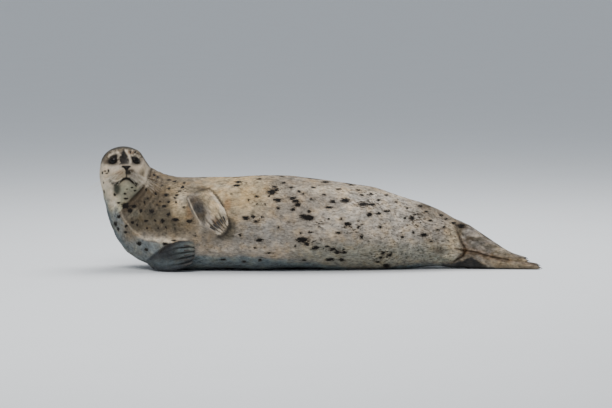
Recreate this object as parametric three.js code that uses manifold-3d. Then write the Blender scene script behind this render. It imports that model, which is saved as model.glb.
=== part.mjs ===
// A life-size harbour seal lying on its right side, belly to the front and head raised to the front.
// Millimetres, +Z up. Until the last step +X runs from the chest to the tail, +Y towards the back of
// the animal and z = 0 is the floor. The last step puts the origin under the middle of the whole.
//
// Flesh is a field: a function of a point, below zero inside and about the distance to the surface.
// Fields are joined softly, turned into closed meshes and parted by thin flat cuts. Flippers and
// claws are lofts, laid over the belly's surface or out behind the rump.

import * as THREE from "three";
import Module from "manifold-3d";

const wasm = await Module();
wasm.setup();

// ---------------------------------------------------------------- driving dimensions

const GAP = 0.35; // between neighbouring pieces
const FAR = 3000; // larger than the whole animal

// The trunk, as stations along its length: height of the upper flank, height of the lower flank
// (a little under the floor where the flesh is pressed flat), half the depth from belly to back,
// and how far the middle of the section lies towards the back.
const TRUNK = [
  { x: -650, top: 366, bottom: -3, depth: 160, back: 10 },
  { x: -560, top: 362, bottom: -7, depth: 172, back: 6 },
  { x: -440, top: 368, bottom: -8, depth: 184, back: 2 },
  { x: -280, top: 381, bottom: -9, depth: 195, back: 0 },
  { x: -120, top: 374, bottom: -9, depth: 196, back: 0 },
  { x: 40, top: 354, bottom: -8, depth: 184, back: 4 },
  { x: 200, top: 330, bottom: -6, depth: 164, back: 10 },
  { x: 340, top: 292, bottom: -4, depth: 138, back: 16 },
  { x: 440, top: 254, bottom: 2, depth: 116, back: 20 },
  { x: 500, top: 226, bottom: 10, depth: 102, back: 22 },
];
const SAG = 0.13; // how much wider the section is low down than at its middle
const SECTION_POWER = 2.15; // 2 is an ellipse, more is squarer
const CHEST_CAP = 190; // the rounded front end of the trunk
const CHEST_TUCK = 24; // how far that end is drawn up from the floor
const RUMP_CAP = 96; // the rounded rear end
const RUMP_HEIGHT = 86; // where the rear end reaches furthest
const RUMP_SLANT = 0.16; // how much it draws in above that

// The head's own frame: forward along the muzzle, left and up.
const HEAD_AT = [-788, -8, 419];
const HEAD_YAW = 8; // degrees, muzzle towards the tail
const HEAD_PITCH = 5; // degrees, muzzle up
const EYE_RADIUS = 20;
const EYE_AT = { forward: 57, side: 39, up: 12 };
const MOUTH = { corner: 62, cornerDrop: -70, cheekDrop: -81, cheek: 44, apexDrop: -57, depth: 62 };

const CLAW = { length: 27, radius: 3.6, sides: 5 };
const HIND_CLAW = { length: 15, radius: 2.4, sides: 5 };
const HALF_DIGIT_STEPS = 10; // half digits across a flipper, for five digits

// Cell sizes of the field meshes.
const HEAD_CELL = [13, 13, 13];
const NECK_CELL = [25, 25, 25];
const TRUNK_CELL = [60, 41, 39];

// ---------------------------------------------------------------- small helpers

const V = (x, y, z) => new THREE.Vector3(x, y, z);
const { clamp, lerp, degToRad, smoothstep } = THREE.MathUtils;

/** A smooth curve of x through the stations' values of one key. */
function along(stations, key) {
  const last = stations.length - 1;
  const slopes = stations.map((station, i) => {
    const a = stations[Math.max(0, i - 1)];
    const b = stations[Math.min(last, i + 1)];
    return (b[key] - a[key]) / (b.x - a.x);
  });
  return (x) => {
    if (x <= stations[0].x) return stations[0][key];
    if (x >= stations[last].x) return stations[last][key];
    const i = stations.findIndex((station, n) => x < stations[n + 1].x);
    const a = stations[i];
    const b = stations[i + 1];
    const h = b.x - a.x;
    const t = (x - a.x) / h;
    const rise = t * t * (3 - 2 * t);
    const lean = t * (1 - t) * h * ((1 - t) * slopes[i] - t * slopes[i + 1]);
    return lerp(a[key], b[key], rise) + lean;
  };
}

// ---------------------------------------------------------------- fields

/** Flesh over a bone: a tapering rod with round ends. */
function rod(a, b, radiusA, radiusB = radiusA) {
  const axis = b.clone().sub(a);
  const length2 = Math.max(axis.lengthSq(), 1e-6);
  const p = V(0, 0, 0);
  return (x, y, z) => {
    p.set(x - a.x, y - a.y, z - a.z);
    const t = clamp(p.dot(axis) / length2, 0, 1);
    return p.addScaledVector(axis, -t).length() - lerp(radiusA, radiusB, t);
  };
}

/** An ellipsoid with its radii along the columns of a turn. */
function egg(at, radii, turn = new THREE.Matrix4()) {
  const e = turn.elements;
  return (x, y, z) => {
    const d = [x - at.x, y - at.y, z - at.z];
    const q = [0, 1, 2].map((k) => (e[4 * k] * d[0] + e[4 * k + 1] * d[1] + e[4 * k + 2] * d[2]) / radii[k]);
    const k0 = Math.hypot(...q);
    const k1 = Math.hypot(q[0] / radii[0], q[1] / radii[1], q[2] / radii[2]);
    return k1 < 1e-9 ? -Math.min(...radii) : (k0 * (k0 - 1)) / k1;
  };
}

/** The lesser of two distances, rounded over a width k. */
function softMin(a, b, k) {
  const h = Math.max(k - Math.abs(a - b), 0) / k;
  return Math.min(a, b) - (h * h * k) / 4;
}

/** Fields joined with one softness. */
function joined(k, first, ...others) {
  return (x, y, z) => others.reduce((sum, field) => softMin(sum, field(x, y, z), k), first(x, y, z));
}

/** A field with another taken away softly. */
const hollowed = (k, field, tool) => (x, y, z) => -softMin(-field(x, y, z), tool(x, y, z), k);

// ---------------------------------------------------------------- the trunk

const TRUNK_FRONT = TRUNK[0].x;
const TRUNK_REAR = TRUNK[TRUNK.length - 1].x;
const trunkTop = along(TRUNK, "top");
const trunkBottom = along(TRUNK, "bottom");
const trunkDepth = along(TRUNK, "depth");
const trunkBack = along(TRUNK, "back");

/** The barrel of the body, round at both ends. */
function trunk(x, y, z) {
  const rear = Math.max(0, x - TRUNK_REAR + RUMP_SLANT * (z - RUMP_HEIGHT) * smoothstep(x, 440, 520));
  const cap = x < TRUNK_FRONT ? (TRUNK_FRONT - x) / CHEST_CAP : rear / RUMP_CAP;
  const tuck = x < TRUNK_FRONT ? CHEST_TUCK * Math.sqrt(Math.min(cap, 1)) : 0;
  const top = trunkTop(x);
  const bottom = trunkBottom(x);
  const half = (top - bottom) / 2;
  const up = (z - tuck - (top + bottom) / 2) / half;
  const depth = trunkDepth(x) * (1 - SAG * clamp(up, -1, 1));
  const across = Math.abs((y - trunkBack(x)) / depth);
  const ratio = (across ** SECTION_POWER + Math.abs(up) ** SECTION_POWER) ** (1 / SECTION_POWER);
  return (Math.hypot(ratio, cap) - 1) * Math.min(half, depth);
}

/** The point in front of the belly at x and z, a lift away from its surface. */
function onBelly(x, z, lift) {
  let outside = -400;
  let inside = 0;
  for (let i = 0; i < 30; i++) {
    const middle = (outside + inside) / 2;
    if (trunk(x, middle, z) > lift) outside = middle;
    else inside = middle;
  }
  return V(x, outside, z);
}

// ---------------------------------------------------------------- head and neck

/** The turn whose columns are the head's forward, left and up. */
function headFrame() {
  const yaw = degToRad(HEAD_YAW);
  const pitch = degToRad(HEAD_PITCH);
  const forward = V(Math.sin(yaw) * Math.cos(pitch), -Math.cos(yaw) * Math.cos(pitch), Math.sin(pitch));
  const left = V(Math.cos(yaw), Math.sin(yaw), 0);
  return new THREE.Matrix4().makeBasis(forward, left, forward.clone().cross(left));
}

const headTurn = headFrame();

/** A point given forward, to the left and up from the middle of the head. */
const inHead = (forward, left, up) => V(forward, left, up).applyMatrix4(headTurn).add(V(...HEAD_AT));

/** An ellipsoid in the head's frame. */
const headEgg = (forward, left, up, radii) => egg(inHead(forward, left, up), radii, headTurn);

/** The same field on both sides of the head. */
const bothSides = (make) => [-1, 1].map(make);

const skull = joined(
  30,
  headEgg(-6, 0, 1, [91, 89, 70]), // braincase
  rod(inHead(28, 0, 0), inHead(115, 0, -28), 55, 29), // bridge of the muzzle
  ...bothSides((s) => headEgg(32, s * 44, -34, [62, 48, 48])), // cheeks
  ...bothSides((s) => headEgg(46, s * 38, 36, [24, 26, 13])), // brows
);
const pads = joined(9, ...bothSides((s) => headEgg(104, s * 28, -47, [36, 32, 30])));
const nose = headEgg(132, 0, -20, [14, 16, 11]);
const jaw = joined(
  26,
  headEgg(76, 0, -84, [46, 46, 34]),
  rod(inHead(56, 0, -90), inHead(10, 0, -84), 58, 72),
);
const face = joined(13, joined(24, skull, joined(18, pads, nose)), jaw);
const sockets = joined(4, ...bothSides((s) => headEgg(88, s * 57, 11, [25, 22, 18])));
const head = hollowed(24, face, sockets);

const throat = rod(V(-789, -32, 352), V(-799, -66, 244), 79, 42);
const nape = joined(
  50,
  rod(V(-650, 14, 202), V(-712, 34, 280), 146, 95),
  rod(V(-712, 34, 280), V(-784, 38, 366), 95, 76),
);

/** How softly the throat runs into the neck: smooth at the front of the chest, creased by the cheek. */
const throatSoftness = (x, z) => lerp(70, 12, smoothstep(x + 0.5 * (z - 300), -850, -790));

const cheekRoll = rod(V(-701, -4, 396), V(-712, -40, 338), 20, 22);
const column = joined(30, head, throat, cheekRoll);
const shoulders = joined(70, trunk, nape);
const body = (x, y, z) => softMin(shoulders(x, y, z), column(x, y, z), throatSoftness(x, z));

// ---------------------------------------------------------------- closed meshes

/** A manifold solid from points and triangles. */
function solid(points, triangles) {
  const vertProperties = new Float32Array(points.flatMap((p) => [p.x, p.y, p.z]));
  const triVerts = new Uint32Array(triangles);
  return new wasm.Manifold(new wasm.Mesh({ numProp: 3, vertProperties, triVerts }));
}

/** The eight corners of a cell, and its twelve edges as pairs of corners. */
const CORNERS = [0, 1, 2, 3, 4, 5, 6, 7].map((c) => [c & 1, (c >> 1) & 1, c >> 2]);
const EDGES = [0, 1, 2, 3, 4, 5, 6, 7].flatMap((c) =>
  [1, 2, 4].filter((bit) => !(c & bit)).map((bit) => [c, c | bit]),
);
const STEPS = [
  [1, 0, 0],
  [0, 1, 0],
  [0, 0, 1],
];
const AROUND = [
  [0, 0],
  [1, 0],
  [1, 1],
  [0, 1],
];

/** A field sampled on a grid of cells between two points, always outside on the grid's own faces. */
function sampled(field, low, high, cell) {
  const [nx, ny, nz] = cell.map((size, k) => Math.ceil((high[k] - low[k]) / size) + 1);
  const values = new Float64Array(nx * ny * nz);
  const index = (i, j, k) => (k * ny + j) * nx + i;
  const place = (i, j, k) => V(low[0] + i * cell[0], low[1] + j * cell[1], low[2] + k * cell[2]);
  for (let n = 0; n < values.length; n++) {
    const [i, j, k] = [n % nx, Math.floor(n / nx) % ny, Math.floor(n / nx / ny)];
    const rim = i * j * k === 0 || i === nx - 1 || j === ny - 1 || k === nz - 1;
    const p = place(i, j, k);
    values[n] = rim ? cell[0] : field(p.x, p.y, p.z) || 1e-6;
  }
  return { values, index, place, size: [nx, ny, nz] };
}

/** The middle of a cell's crossings, in cells, or null when the surface misses the cell. */
function crossing(grid, i, j, k) {
  const value = CORNERS.map((c) => grid.values[grid.index(i + c[0], j + c[1], k + c[2])]);
  const cut = EDGES.filter(([a, b]) => value[a] < 0 !== value[b] < 0);
  if (!cut.length) return null;
  const sum = [0, 0, 0];
  for (const [a, b] of cut) {
    const t = value[a] / (value[a] - value[b]);
    sum.forEach((_, q) => (sum[q] += lerp(CORNERS[a][q], CORNERS[b][q], t) / cut.length));
  }
  return grid.place(i + sum[0], j + sum[1], k + sum[2]);
}

/** The closed surface where a field is zero, one point to each cell that it crosses. */
function surface(field, low, high, cell) {
  const grid = sampled(field, low, high, cell);
  const [nx, ny, nz] = grid.size;
  const points = [];
  const pointOf = new Int32Array(nx * ny * nz);
  const inner = [];
  for (let n = 0; n < nx * ny * nz; n++) {
    const [i, j, k] = [n % nx, Math.floor(n / nx) % ny, Math.floor(n / nx / ny)];
    if (i > nx - 2 || j > ny - 2 || k > nz - 2) continue;
    inner.push([i, j, k]);
    const p = crossing(grid, i, j, k);
    if (!p) continue;
    pointOf[n] = points.length;
    points.push(p);
  }
  const triangles = [];
  for (const [i, j, k] of inner) {
    const here = grid.values[grid.index(i, j, k)] < 0;
    STEPS.forEach((step, axis) => {
      if (here === grid.values[grid.index(i + step[0], j + step[1], k + step[2])] < 0) return;
      const u = STEPS[(axis + 1) % 3];
      const v = STEPS[(axis + 2) % 3];
      const cellAt = ([a, b]) => pointOf[grid.index(...[i, j, k].map((n, q) => n - a * u[q] - b * v[q]))];
      const quad = AROUND.map(cellAt);
      triangles.push(...twoTriangles(points, here ? quad : quad.reverse()));
    });
  }
  return solid(points, triangles);
}

/** A solid with every corner moved out along its faces' mean normal. */
function swollen(made, amount) {
  const { numProp, vertProperties, triVerts } = made.getMesh();
  const count = vertProperties.length / numProp;
  const points = Array.from({ length: count }, (_, i) => V(...vertProperties.slice(numProp * i, numProp * i + 3)));
  const normals = points.map(() => V(0, 0, 0));
  for (let i = 0; i < triVerts.length; i += 3) {
    const [a, b, c] = [0, 1, 2].map((k) => points[triVerts[i + k]]);
    const facing = b.clone().sub(a).cross(c.clone().sub(a));
    [0, 1, 2].forEach((k) => normals[triVerts[i + k]].add(facing));
  }
  return solid(points.map((p, i) => p.clone().addScaledVector(normals[i].normalize(), amount)), triVerts);
}

/** A quad split across its shorter diagonal. */
function twoTriangles(points, [a, b, c, d]) {
  const shortAC = points[a].distanceTo(points[c]) <= points[b].distanceTo(points[d]);
  return shortAC ? [a, b, c, a, c, d] : [a, b, d, b, c, d];
}

/** A closed loft through rings of points with one count; both ends are closed across each ring. */
function loft(rings) {
  const count = rings[0].length;
  const points = rings.flat();
  const triangles = [];
  const at = (r, i) => r * count + (i % count);
  for (let r = 0; r < rings.length - 1; r++) {
    for (let i = 0; i < count; i++) {
      triangles.push(...twoTriangles(points, [at(r, i), at(r, i + 1), at(r + 1, i + 1), at(r + 1, i)]));
    }
  }
  for (const [r, flip] of [
    [0, true],
    [rings.length - 1, false],
  ]) {
    for (let i = 0; i < count / 2 - 1; i++) {
      const j = count - 1 - i;
      const [a, b, c, d] = [at(r, i), at(r, i + 1), at(r, j - 1), at(r, j)];
      const sheet = b === c ? [a, b, d] : [a, b, c, a, c, d];
      triangles.push(...(flip ? sheet.reverse() : sheet));
    }
  }
  const made = solid(points, triangles);
  return made.volume() > 0 ? made : solid(points, triangles.reverse());
}

/** A solid from a three.js geometry, its shared corners joined. */
function fromGeometry(geometry) {
  const flat = geometry.index ? geometry.toNonIndexed() : geometry;
  const position = flat.attributes.position;
  const points = [];
  const known = new Map();
  const corner = Array.from({ length: position.count }, (_, i) => {
    const p = V(position.getX(i), position.getY(i), position.getZ(i));
    const key = p.toArray().map((value) => Math.round(value * 1e4)).join();
    if (!known.has(key)) known.set(key, points.push(p) - 1);
    return known.get(key);
  });
  const triangles = [];
  for (let i = 0; i < corner.length; i += 3) {
    const [a, b, c] = corner.slice(i, i + 3);
    if (a !== b && b !== c && c !== a) triangles.push(a, b, c);
  }
  return solid(points, triangles);
}

/** Everything on the far side of a plane through a point, starting at an offset along its normal. */
function beyond(point, normal, offset) {
  const box = new THREE.BoxGeometry(2 * FAR, 2 * FAR, FAR);
  box.translate(0, 0, FAR / 2 + offset);
  box.applyQuaternion(new THREE.Quaternion().setFromUnitVectors(V(0, 0, 1), normal.clone().normalize()));
  box.translate(point.x, point.y, point.z);
  return fromGeometry(box);
}

// ---------------------------------------------------------------- cutting the flesh

const THROAT_CUT = { at: V(-790, 20, 356), normal: V(-0.1, -0.5, 0.86) };
const CHEEK_CUT = { at: V(-672, 0, 400), normal: V(-0.82, -0.25, 0.52) };
const NECK_CUT = { at: V(-716, 0, 276), normal: V(-0.72, 0, 0.7) };
const BELLY_CUT = { at: V(-330, 0, 180), normal: V(-1, 0, 0) };
const HIP_CUT = { at: V(180, 0, 180), normal: V(-1, 0, 0) };

const after = (cut) => beyond(cut.at, cut.normal, GAP / 2);
const before = (cut) => beyond(cut.at, cut.normal.clone().negate(), GAP / 2);
const within = (piece, ...parts) => parts.reduce((sum, part) => sum.intersect(part), piece);
/** The room of the head, over the throat and in front of the crease behind the cheek. */
const headRoom = (inset) =>
  beyond(THROAT_CUT.at, THROAT_CUT.normal, inset).intersect(beyond(CHEEK_CUT.at, CHEEK_CUT.normal, inset));

const grounded = (piece) => piece.intersect(beyond(V(0, 0, 0), V(0, 0, 1), 0));

const headBlock = surface(body, [-925, -215, 230], [-600, 145, 525], HEAD_CELL);
const neckBlock = surface(body, [-938, -246, 52], [-560, 240, 520], NECK_CELL);
const TRUNK_LOW = [-900, -260, -40];
const TRUNK_HIGH = [640, 260, 480];
const trunkWhole = surface(body, TRUNK_LOW, TRUNK_HIGH, TRUNK_CELL);
const trunkBlock = grounded(trunkWhole);
const trunkRoom = swollen(trunkWhole, GAP);

const wholeHead = headBlock.intersect(headRoom(GAP / 2));
const neck = within(neckBlock.subtract(headRoom(-GAP / 2)), after(NECK_CUT));
const chest = within(trunkBlock, before(NECK_CUT), after(BELLY_CUT));
const belly = within(trunkBlock, before(BELLY_CUT), after(HIP_CUT));
const hips = within(trunkBlock, before(HIP_CUT));

// ---------------------------------------------------------------- eyes and mouth

const eyeCentre = (side) => inHead(EYE_AT.forward, side * EYE_AT.side, EYE_AT.up);

/** A ball around an eye's centre, its poles fore and aft. */
function eyeBall(side, radius) {
  const ball = new THREE.SphereGeometry(radius, 12, 9);
  ball.rotateX(Math.PI / 2);
  ball.translate(...eyeCentre(side).toArray());
  return fromGeometry(ball);
}

/** Everything under the mouth's line and in front of its corners, drawn in by an inset. */
function underMouth(inset) {
  const half = [
    [0, MOUTH.apexDrop],
    [MOUTH.cheek / 2, (MOUTH.apexDrop + MOUTH.cheekDrop) / 2 + 3],
    [MOUTH.cheek, MOUTH.cheekDrop],
    [MOUTH.corner, MOUTH.cornerDrop],
    [MOUTH.corner + 6, MOUTH.cornerDrop + 3],
  ];
  const line = [...half.slice(1).reverse().map(([l, u]) => [-l, u]), ...half];
  const outline = [...line.map(([l, u]) => [l, u - inset]), ...line.map(([l]) => [l, -FAR]).reverse()];
  return loft([MOUTH.depth + inset, FAR].map((forward) => outline.map(([l, u]) => inHead(forward, l, u))));
}

const orbits = [-1, 1].map((side) => eyeBall(side, EYE_RADIUS + GAP));
const headPiece = [...orbits, underMouth(-GAP / 2)].reduce((sum, tool) => sum.subtract(tool), wholeHead);
const lowerJaw = wholeHead.intersect(underMouth(GAP / 2));

// ---------------------------------------------------------------- flippers

const DIGIT_AT = Array.from({ length: HALF_DIGIT_STEPS + 1 }, (_, i) => -1 + (2 * i) / HALF_DIGIT_STEPS);
const isDigit = (i) => i % 2 === 1;
const FORE_EDGE = 0.3; // thickness of a flipper's edges, as a share of its middle
const HIND_EDGE = 0.62;

// Fore flippers, as stations from the wrist to the finger tips: x and z of the trailing edge, x and z
// of the leading edge, how far the palm is from the belly's surface, and the thickness.
const FORE_LEFT = [
  { trail: [-456, 338], lead: [-536, 316], lift: -44, thick: 38 },
  { trail: [-442, 322], lead: [-530, 290], lift: -22, thick: 36 },
  { trail: [-424, 302], lead: [-516, 260], lift: -8, thick: 31 },
  { trail: [-404, 277], lead: [-492, 228], lift: 0, thick: 25 },
  { trail: [-386, 250], lead: [-464, 195], lift: 2, thick: 20 },
  { trail: [-373, 219], lead: [-430, 167], lift: 2, thick: 14 },
  { trail: [-366, 197], lead: [-402, 153], lift: 2, thick: 9 },
];
const FORE_RIGHT = [
  { trail: [-672, 12], lead: [-696, 34], lift: -42, thick: 36 },
  { trail: [-650, 6], lead: [-676, 52], lift: -22, thick: 34 },
  { trail: [-624, 4], lead: [-646, 80], lift: -8, thick: 29 },
  { trail: [-590, 5], lead: [-604, 107], lift: 0, thick: 24 },
  { trail: [-556, 11], lead: [-564, 121], lift: 2, thick: 19 },
  { trail: [-520, 23], lead: [-522, 124], lift: 2, thick: 14 },
  { trail: [-503, 34], lead: [-498, 117], lift: 2, thick: 9 },
];
const FLIPPER_STAND = 62; // below this height a flipper hangs straight down from the belly

/** How thick a flipper is across its width, from one edge (-1) to the other (1), given its edges. */
const bladeProfile = (u, edge) => edge + (1 - edge) * Math.sqrt(1 - u * u);

/** A fore flipper and the places of its claws. */
function foreFlipper(stations) {
  const last = stations.length - 1;
  const tip = tipDirection(stations);
  const spot = (station, i, r) => {
    const web = r === last && !isDigit(i) ? -5 : 0;
    const t = (DIGIT_AT[i] + 1) / 2;
    const x = lerp(station.trail[0], station.lead[0], t) + web * tip.x;
    return [x, lerp(station.trail[1], station.lead[1], t) + web * tip.z];
  };
  const layer = (station, i, r, outer) => {
    const [x, z] = spot(station, i, r);
    const ridge = outer && isDigit(i) ? 3 * smoothstep(r / last, 0.2, 0.8) : 0;
    const thick = station.thick * bladeProfile(DIGIT_AT[i], FORE_EDGE);
    const lift = station.lift + (station.thick - thick) / 2 + (outer ? thick + ridge : 0);
    return V(x, onBelly(x, Math.max(z, FLIPPER_STAND), lift).y, z);
  };
  const steps = DIGIT_AT.map((_, i) => i);
  const rings = stations.map((station, r) => [
    ...steps.map((i) => layer(station, i, r, true)),
    ...steps.map((i) => layer(station, i, r, false)).reverse(),
  ]);
  const claws = steps.filter(isDigit).map((i) => {
    const from = layer(stations[last - 2], i, last - 2, true);
    const to = layer(stations[last], i, last, true);
    const base = from.clone().lerp(to, 0.35);
    return { base, dir: to.sub(from).normalize(), out: V(0, -1, 0) };
  });
  return { solid: loft(rings), claws };
}

/** The direction in which a fore flipper's fingers point. */
function tipDirection(stations) {
  const a = stations[stations.length - 3];
  const b = stations[stations.length - 1];
  const middle = (s) => V(s.trail[0] + s.lead[0], 0, s.trail[1] + s.lead[1]);
  return middle(b).sub(middle(a)).normalize();
}

// Hind flippers, as stations towards their tips: middle of the section, half its width from the big
// toe's edge to the little toe's, and half its thickness.
const HIND_LEFT = [
  { x: 510, y: 12, z: 146, wide: 50, thick: 58 },
  { x: 556, y: 8, z: 134, wide: 52, thick: 58 },
  { x: 598, y: 6, z: 117, wide: 50, thick: 55.5 },
  { x: 640, y: 6, z: 98, wide: 47, thick: 45.5 },
  { x: 680, y: 7, z: 80.5, wide: 48, thick: 35.5 },
  { x: 728, y: 10, z: 60.5, wide: 53, thick: 22 },
  { x: 776, y: 14, z: 44.5, wide: 59, thick: 11.5 },
  { x: 834, y: 18, z: 33, wide: 62, thick: 5 },
];
const HIND_RIGHT = [
  { x: 500, y: 8, z: 44, wide: 46, thick: 40 },
  { x: 550, y: 6, z: 36, wide: 50, thick: 34 },
  { x: 604, y: 4, z: 29, wide: 50, thick: 29.5 },
  { x: 662, y: 2, z: 23.5, wide: 48, thick: 23.8 },
  { x: 722, y: 2, z: 18.5, wide: 53, thick: 18.8 },
  { x: 784, y: 4, z: 14.8, wide: 60, thick: 15 },
  { x: 844, y: 7, z: 10.5, wide: 67, thick: 10.5 },
  { x: 884, y: 9, z: 7, wide: 70, thick: 6.5 },
];

/** A hind flipper lying flat, its outer face up or down, and the places of its claws. */
function hindFlipper(stations, outer) {
  const last = stations.length - 1;
  const notch = (i, r) => {
    const middle = 14 * (1 - DIGIT_AT[i] ** 2);
    return r === last ? middle + (isDigit(i) ? 0 : 10) : r === last - 1 ? middle * 0.6 : 0;
  };
  const edge = (station, i, r, face) => {
    const ridge = isDigit(i) ? 2.2 * smoothstep(r / last, 0.3, 0.8) : 0;
    const half = station.thick * bladeProfile(DIGIT_AT[i], HIND_EDGE) + (face === outer ? ridge : 0);
    return V(station.x - notch(i, r), station.y + station.wide * DIGIT_AT[i], station.z + face * half);
  };
  const steps = DIGIT_AT.map((_, i) => i);
  const rings = stations.map((station, r) => [
    ...steps.map((i) => edge(station, i, r, 1)),
    ...steps.map((i) => edge(station, i, r, -1)).reverse(),
  ]);
  const claws = steps.filter(isDigit).map((i) => {
    const core = (r) => edge(stations[r], i, r, 1).lerp(edge(stations[r], i, r, -1), 0.5);
    const dir = core(last).sub(core(last - 2)).normalize();
    return { base: core(last).addScaledVector(dir, -HIND_CLAW.length / 2), dir, out: V(0, 0, 1) };
  });
  return { solid: loft(rings), claws };
}

/** A curved claw, or with a margin the pit that it stands in. */
function claw({ base, dir, out }, { length, radius, sides }, margin = 0) {
  const side = dir.clone().cross(out).normalize();
  const up = side.clone().cross(dir).normalize();
  const sections = margin ? [-0.1, 0.35, 0.7, 1.05] : [0, 0.35, 0.7, 1];
  const rings = sections.map((t) => {
    const centre = base.clone().addScaledVector(dir, length * t);
    centre.addScaledVector(up, length * (0.28 * t * (1 - t) - 0.1 * t) * 1.5);
    const r = radius * (1 - 0.82 * clamp(t, 0, 1) ** 1.6) + margin;
    return Array.from({ length: sides }, (_, i) => {
      const angle = (2 * Math.PI * (i + 0.5)) / sides;
      const p = centre.clone().addScaledVector(side, 0.8 * r * Math.cos(angle));
      return p.addScaledVector(up, 1.15 * r * Math.sin(angle));
    });
  });
  return loft(rings);
}

/** A flipper freed from the trunk, with its claws in pits. */
function clawed(flipper, size, others = []) {
  const pits = flipper.claws.map((place) => claw(place, size, GAP));
  const bare = grounded([trunkRoom, ...others, ...pits].reduce((sum, tool) => sum.subtract(tool), flipper.solid));
  const parts = bare.decompose().sort((a, b) => b.volume() - a.volume());
  return { solid: parts[0], claws: flipper.claws.map((place) => claw(place, size)) };
}

const foreLeft = clawed(foreFlipper(FORE_LEFT), CLAW);
const foreRight = clawed(foreFlipper(FORE_RIGHT), CLAW);
const hindLeft = clawed(hindFlipper(HIND_LEFT, 1), HIND_CLAW);
const hindRight = clawed(hindFlipper(HIND_RIGHT, -1), HIND_CLAW);

// ---------------------------------------------------------------- tail

// The tail, as stations: middle of the section, half its width and half its thickness.
const TAIL = [
  { x: 520, y: 74, z: 112, wide: 34, thick: 20 },
  { x: 565, y: 79, z: 110, wide: 32, thick: 16 },
  { x: 605, y: 82, z: 106, wide: 28, thick: 13 },
  { x: 640, y: 84, z: 102, wide: 22, thick: 10 },
  { x: 662, y: 85, z: 99, wide: 13, thick: 7 },
  { x: 670, y: 85, z: 98, wide: 5, thick: 3 },
];

/** The tail, flat from belly to back. */
function tailLoft() {
  return loft(
    TAIL.map(({ x, y, z, wide, thick }) =>
      Array.from({ length: 10 }, (_, i) => {
        const angle = (2 * Math.PI * (i + 0.5)) / 10;
        return V(x, y - thick * Math.sin(angle), z + wide * Math.cos(angle));
      }),
    ),
  );
}

const tail = tailLoft().subtract(trunkRoom).decompose().sort((a, b) => b.volume() - a.volume())[0];

// ---------------------------------------------------------------- the whole animal

const DIGIT_NAMES = ["5", "4", "3", "2", "1"]; // from the trailing edge to the leading edge

const pieces = {
  head: headPiece,
  lower_jaw: lowerJaw,
  neck,
  chest,
  belly,
  hips,
  tail,
  foreflipper_left: foreLeft.solid,
  foreflipper_right: foreRight.solid,
  hindflipper_left: hindLeft.solid,
  hindflipper_right: hindRight.solid,
  eye_left: eyeBall(1, EYE_RADIUS),
  eye_right: eyeBall(-1, EYE_RADIUS),
};
foreLeft.claws.forEach((made, i) => (pieces[`foreclaw_left_${DIGIT_NAMES[i]}`] = made));
foreRight.claws.forEach((made, i) => (pieces[`foreclaw_right_${DIGIT_NAMES[i]}`] = made));
hindLeft.claws.forEach((made, i) => (pieces[`hindclaw_left_${5 - i}`] = made));
hindRight.claws.forEach((made, i) => (pieces[`hindclaw_right_${5 - i}`] = made));

const LOOKS = {
  eye: { color: 0x0c0a09, roughness: 0.08 },
  claw: { color: 0x2c2622, roughness: 0.45 },
  coat: { color: 0xa1957f, roughness: 0.85 },
};

/** The looks of a piece, by its name. */
function materialFor(name) {
  const kind = name.startsWith("eye") ? "eye" : name.includes("claw") ? "claw" : "coat";
  const material = new THREE.MeshStandardMaterial({ ...LOOKS[kind], metalness: 0 });
  material.name = `${name}_${kind}`;
  return material;
}

/** A three.js mesh of a solid. */
function meshOf(name, made) {
  const { numProp, vertProperties, triVerts } = made.getMesh();
  const position = new Float32Array((vertProperties.length / numProp) * 3);
  position.forEach((_, n) => (position[n] = vertProperties[Math.floor(n / 3) * numProp + (n % 3)]));
  const geometry = new THREE.BufferGeometry();
  geometry.setAttribute("position", new THREE.BufferAttribute(position, 3));
  geometry.setIndex(new THREE.BufferAttribute(new Uint32Array(triVerts), 1));
  geometry.computeVertexNormals();
  const mesh = new THREE.Mesh(geometry, materialFor(name));
  mesh.name = name;
  return mesh;
}

const seal = new THREE.Group();
seal.name = "harbour_seal";
Object.entries(pieces).forEach(([name, made]) => seal.add(meshOf(name, made)));

const box = new THREE.Box3().setFromObject(seal);
const middle = box.getCenter(V(0, 0, 0));
seal.children.forEach((mesh) => mesh.geometry.translate(-middle.x, -middle.y, -box.min.z));

export default seal;
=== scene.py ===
"""A life-size harbour seal on its right side: skin, coat, eyes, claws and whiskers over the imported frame.

The frame's flesh is replaced by one skin. It is drawn from the frame's own solids, smoothed, drawn in
by the coat's depth and given lids, nostrils, mouth and folds. Short tufts lie over it. Lengths in the
classes that shape the skin are millimetres, in the frame that the solids are described in: x from
chest to tail, y from belly to back, z up from the floor. Blender's objects are in metres.
"""

from __future__ import annotations

import logging
import math
from contextlib import contextmanager
from dataclasses import dataclass
from enum import Enum
from typing import Callable, Iterable, Iterator, Sequence

import bmesh
import bpy
import numpy as np
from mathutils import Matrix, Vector
from mathutils.bvhtree import BVHTree
from mathutils.kdtree import KDTree

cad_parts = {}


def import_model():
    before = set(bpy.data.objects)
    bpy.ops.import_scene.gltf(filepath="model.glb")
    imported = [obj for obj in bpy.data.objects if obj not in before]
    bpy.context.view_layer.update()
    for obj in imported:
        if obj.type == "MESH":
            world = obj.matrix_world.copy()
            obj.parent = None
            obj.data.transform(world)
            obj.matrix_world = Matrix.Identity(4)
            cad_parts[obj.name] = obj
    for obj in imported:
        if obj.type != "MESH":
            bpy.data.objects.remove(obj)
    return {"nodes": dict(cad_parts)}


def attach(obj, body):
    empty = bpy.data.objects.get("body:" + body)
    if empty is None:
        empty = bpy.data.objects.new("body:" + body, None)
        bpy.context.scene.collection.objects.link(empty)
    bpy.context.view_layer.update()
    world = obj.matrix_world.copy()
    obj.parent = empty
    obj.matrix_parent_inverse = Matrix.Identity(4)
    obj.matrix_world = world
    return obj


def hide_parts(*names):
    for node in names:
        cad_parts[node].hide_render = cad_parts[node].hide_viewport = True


LOG = logging.getLogger("seal")

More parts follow.
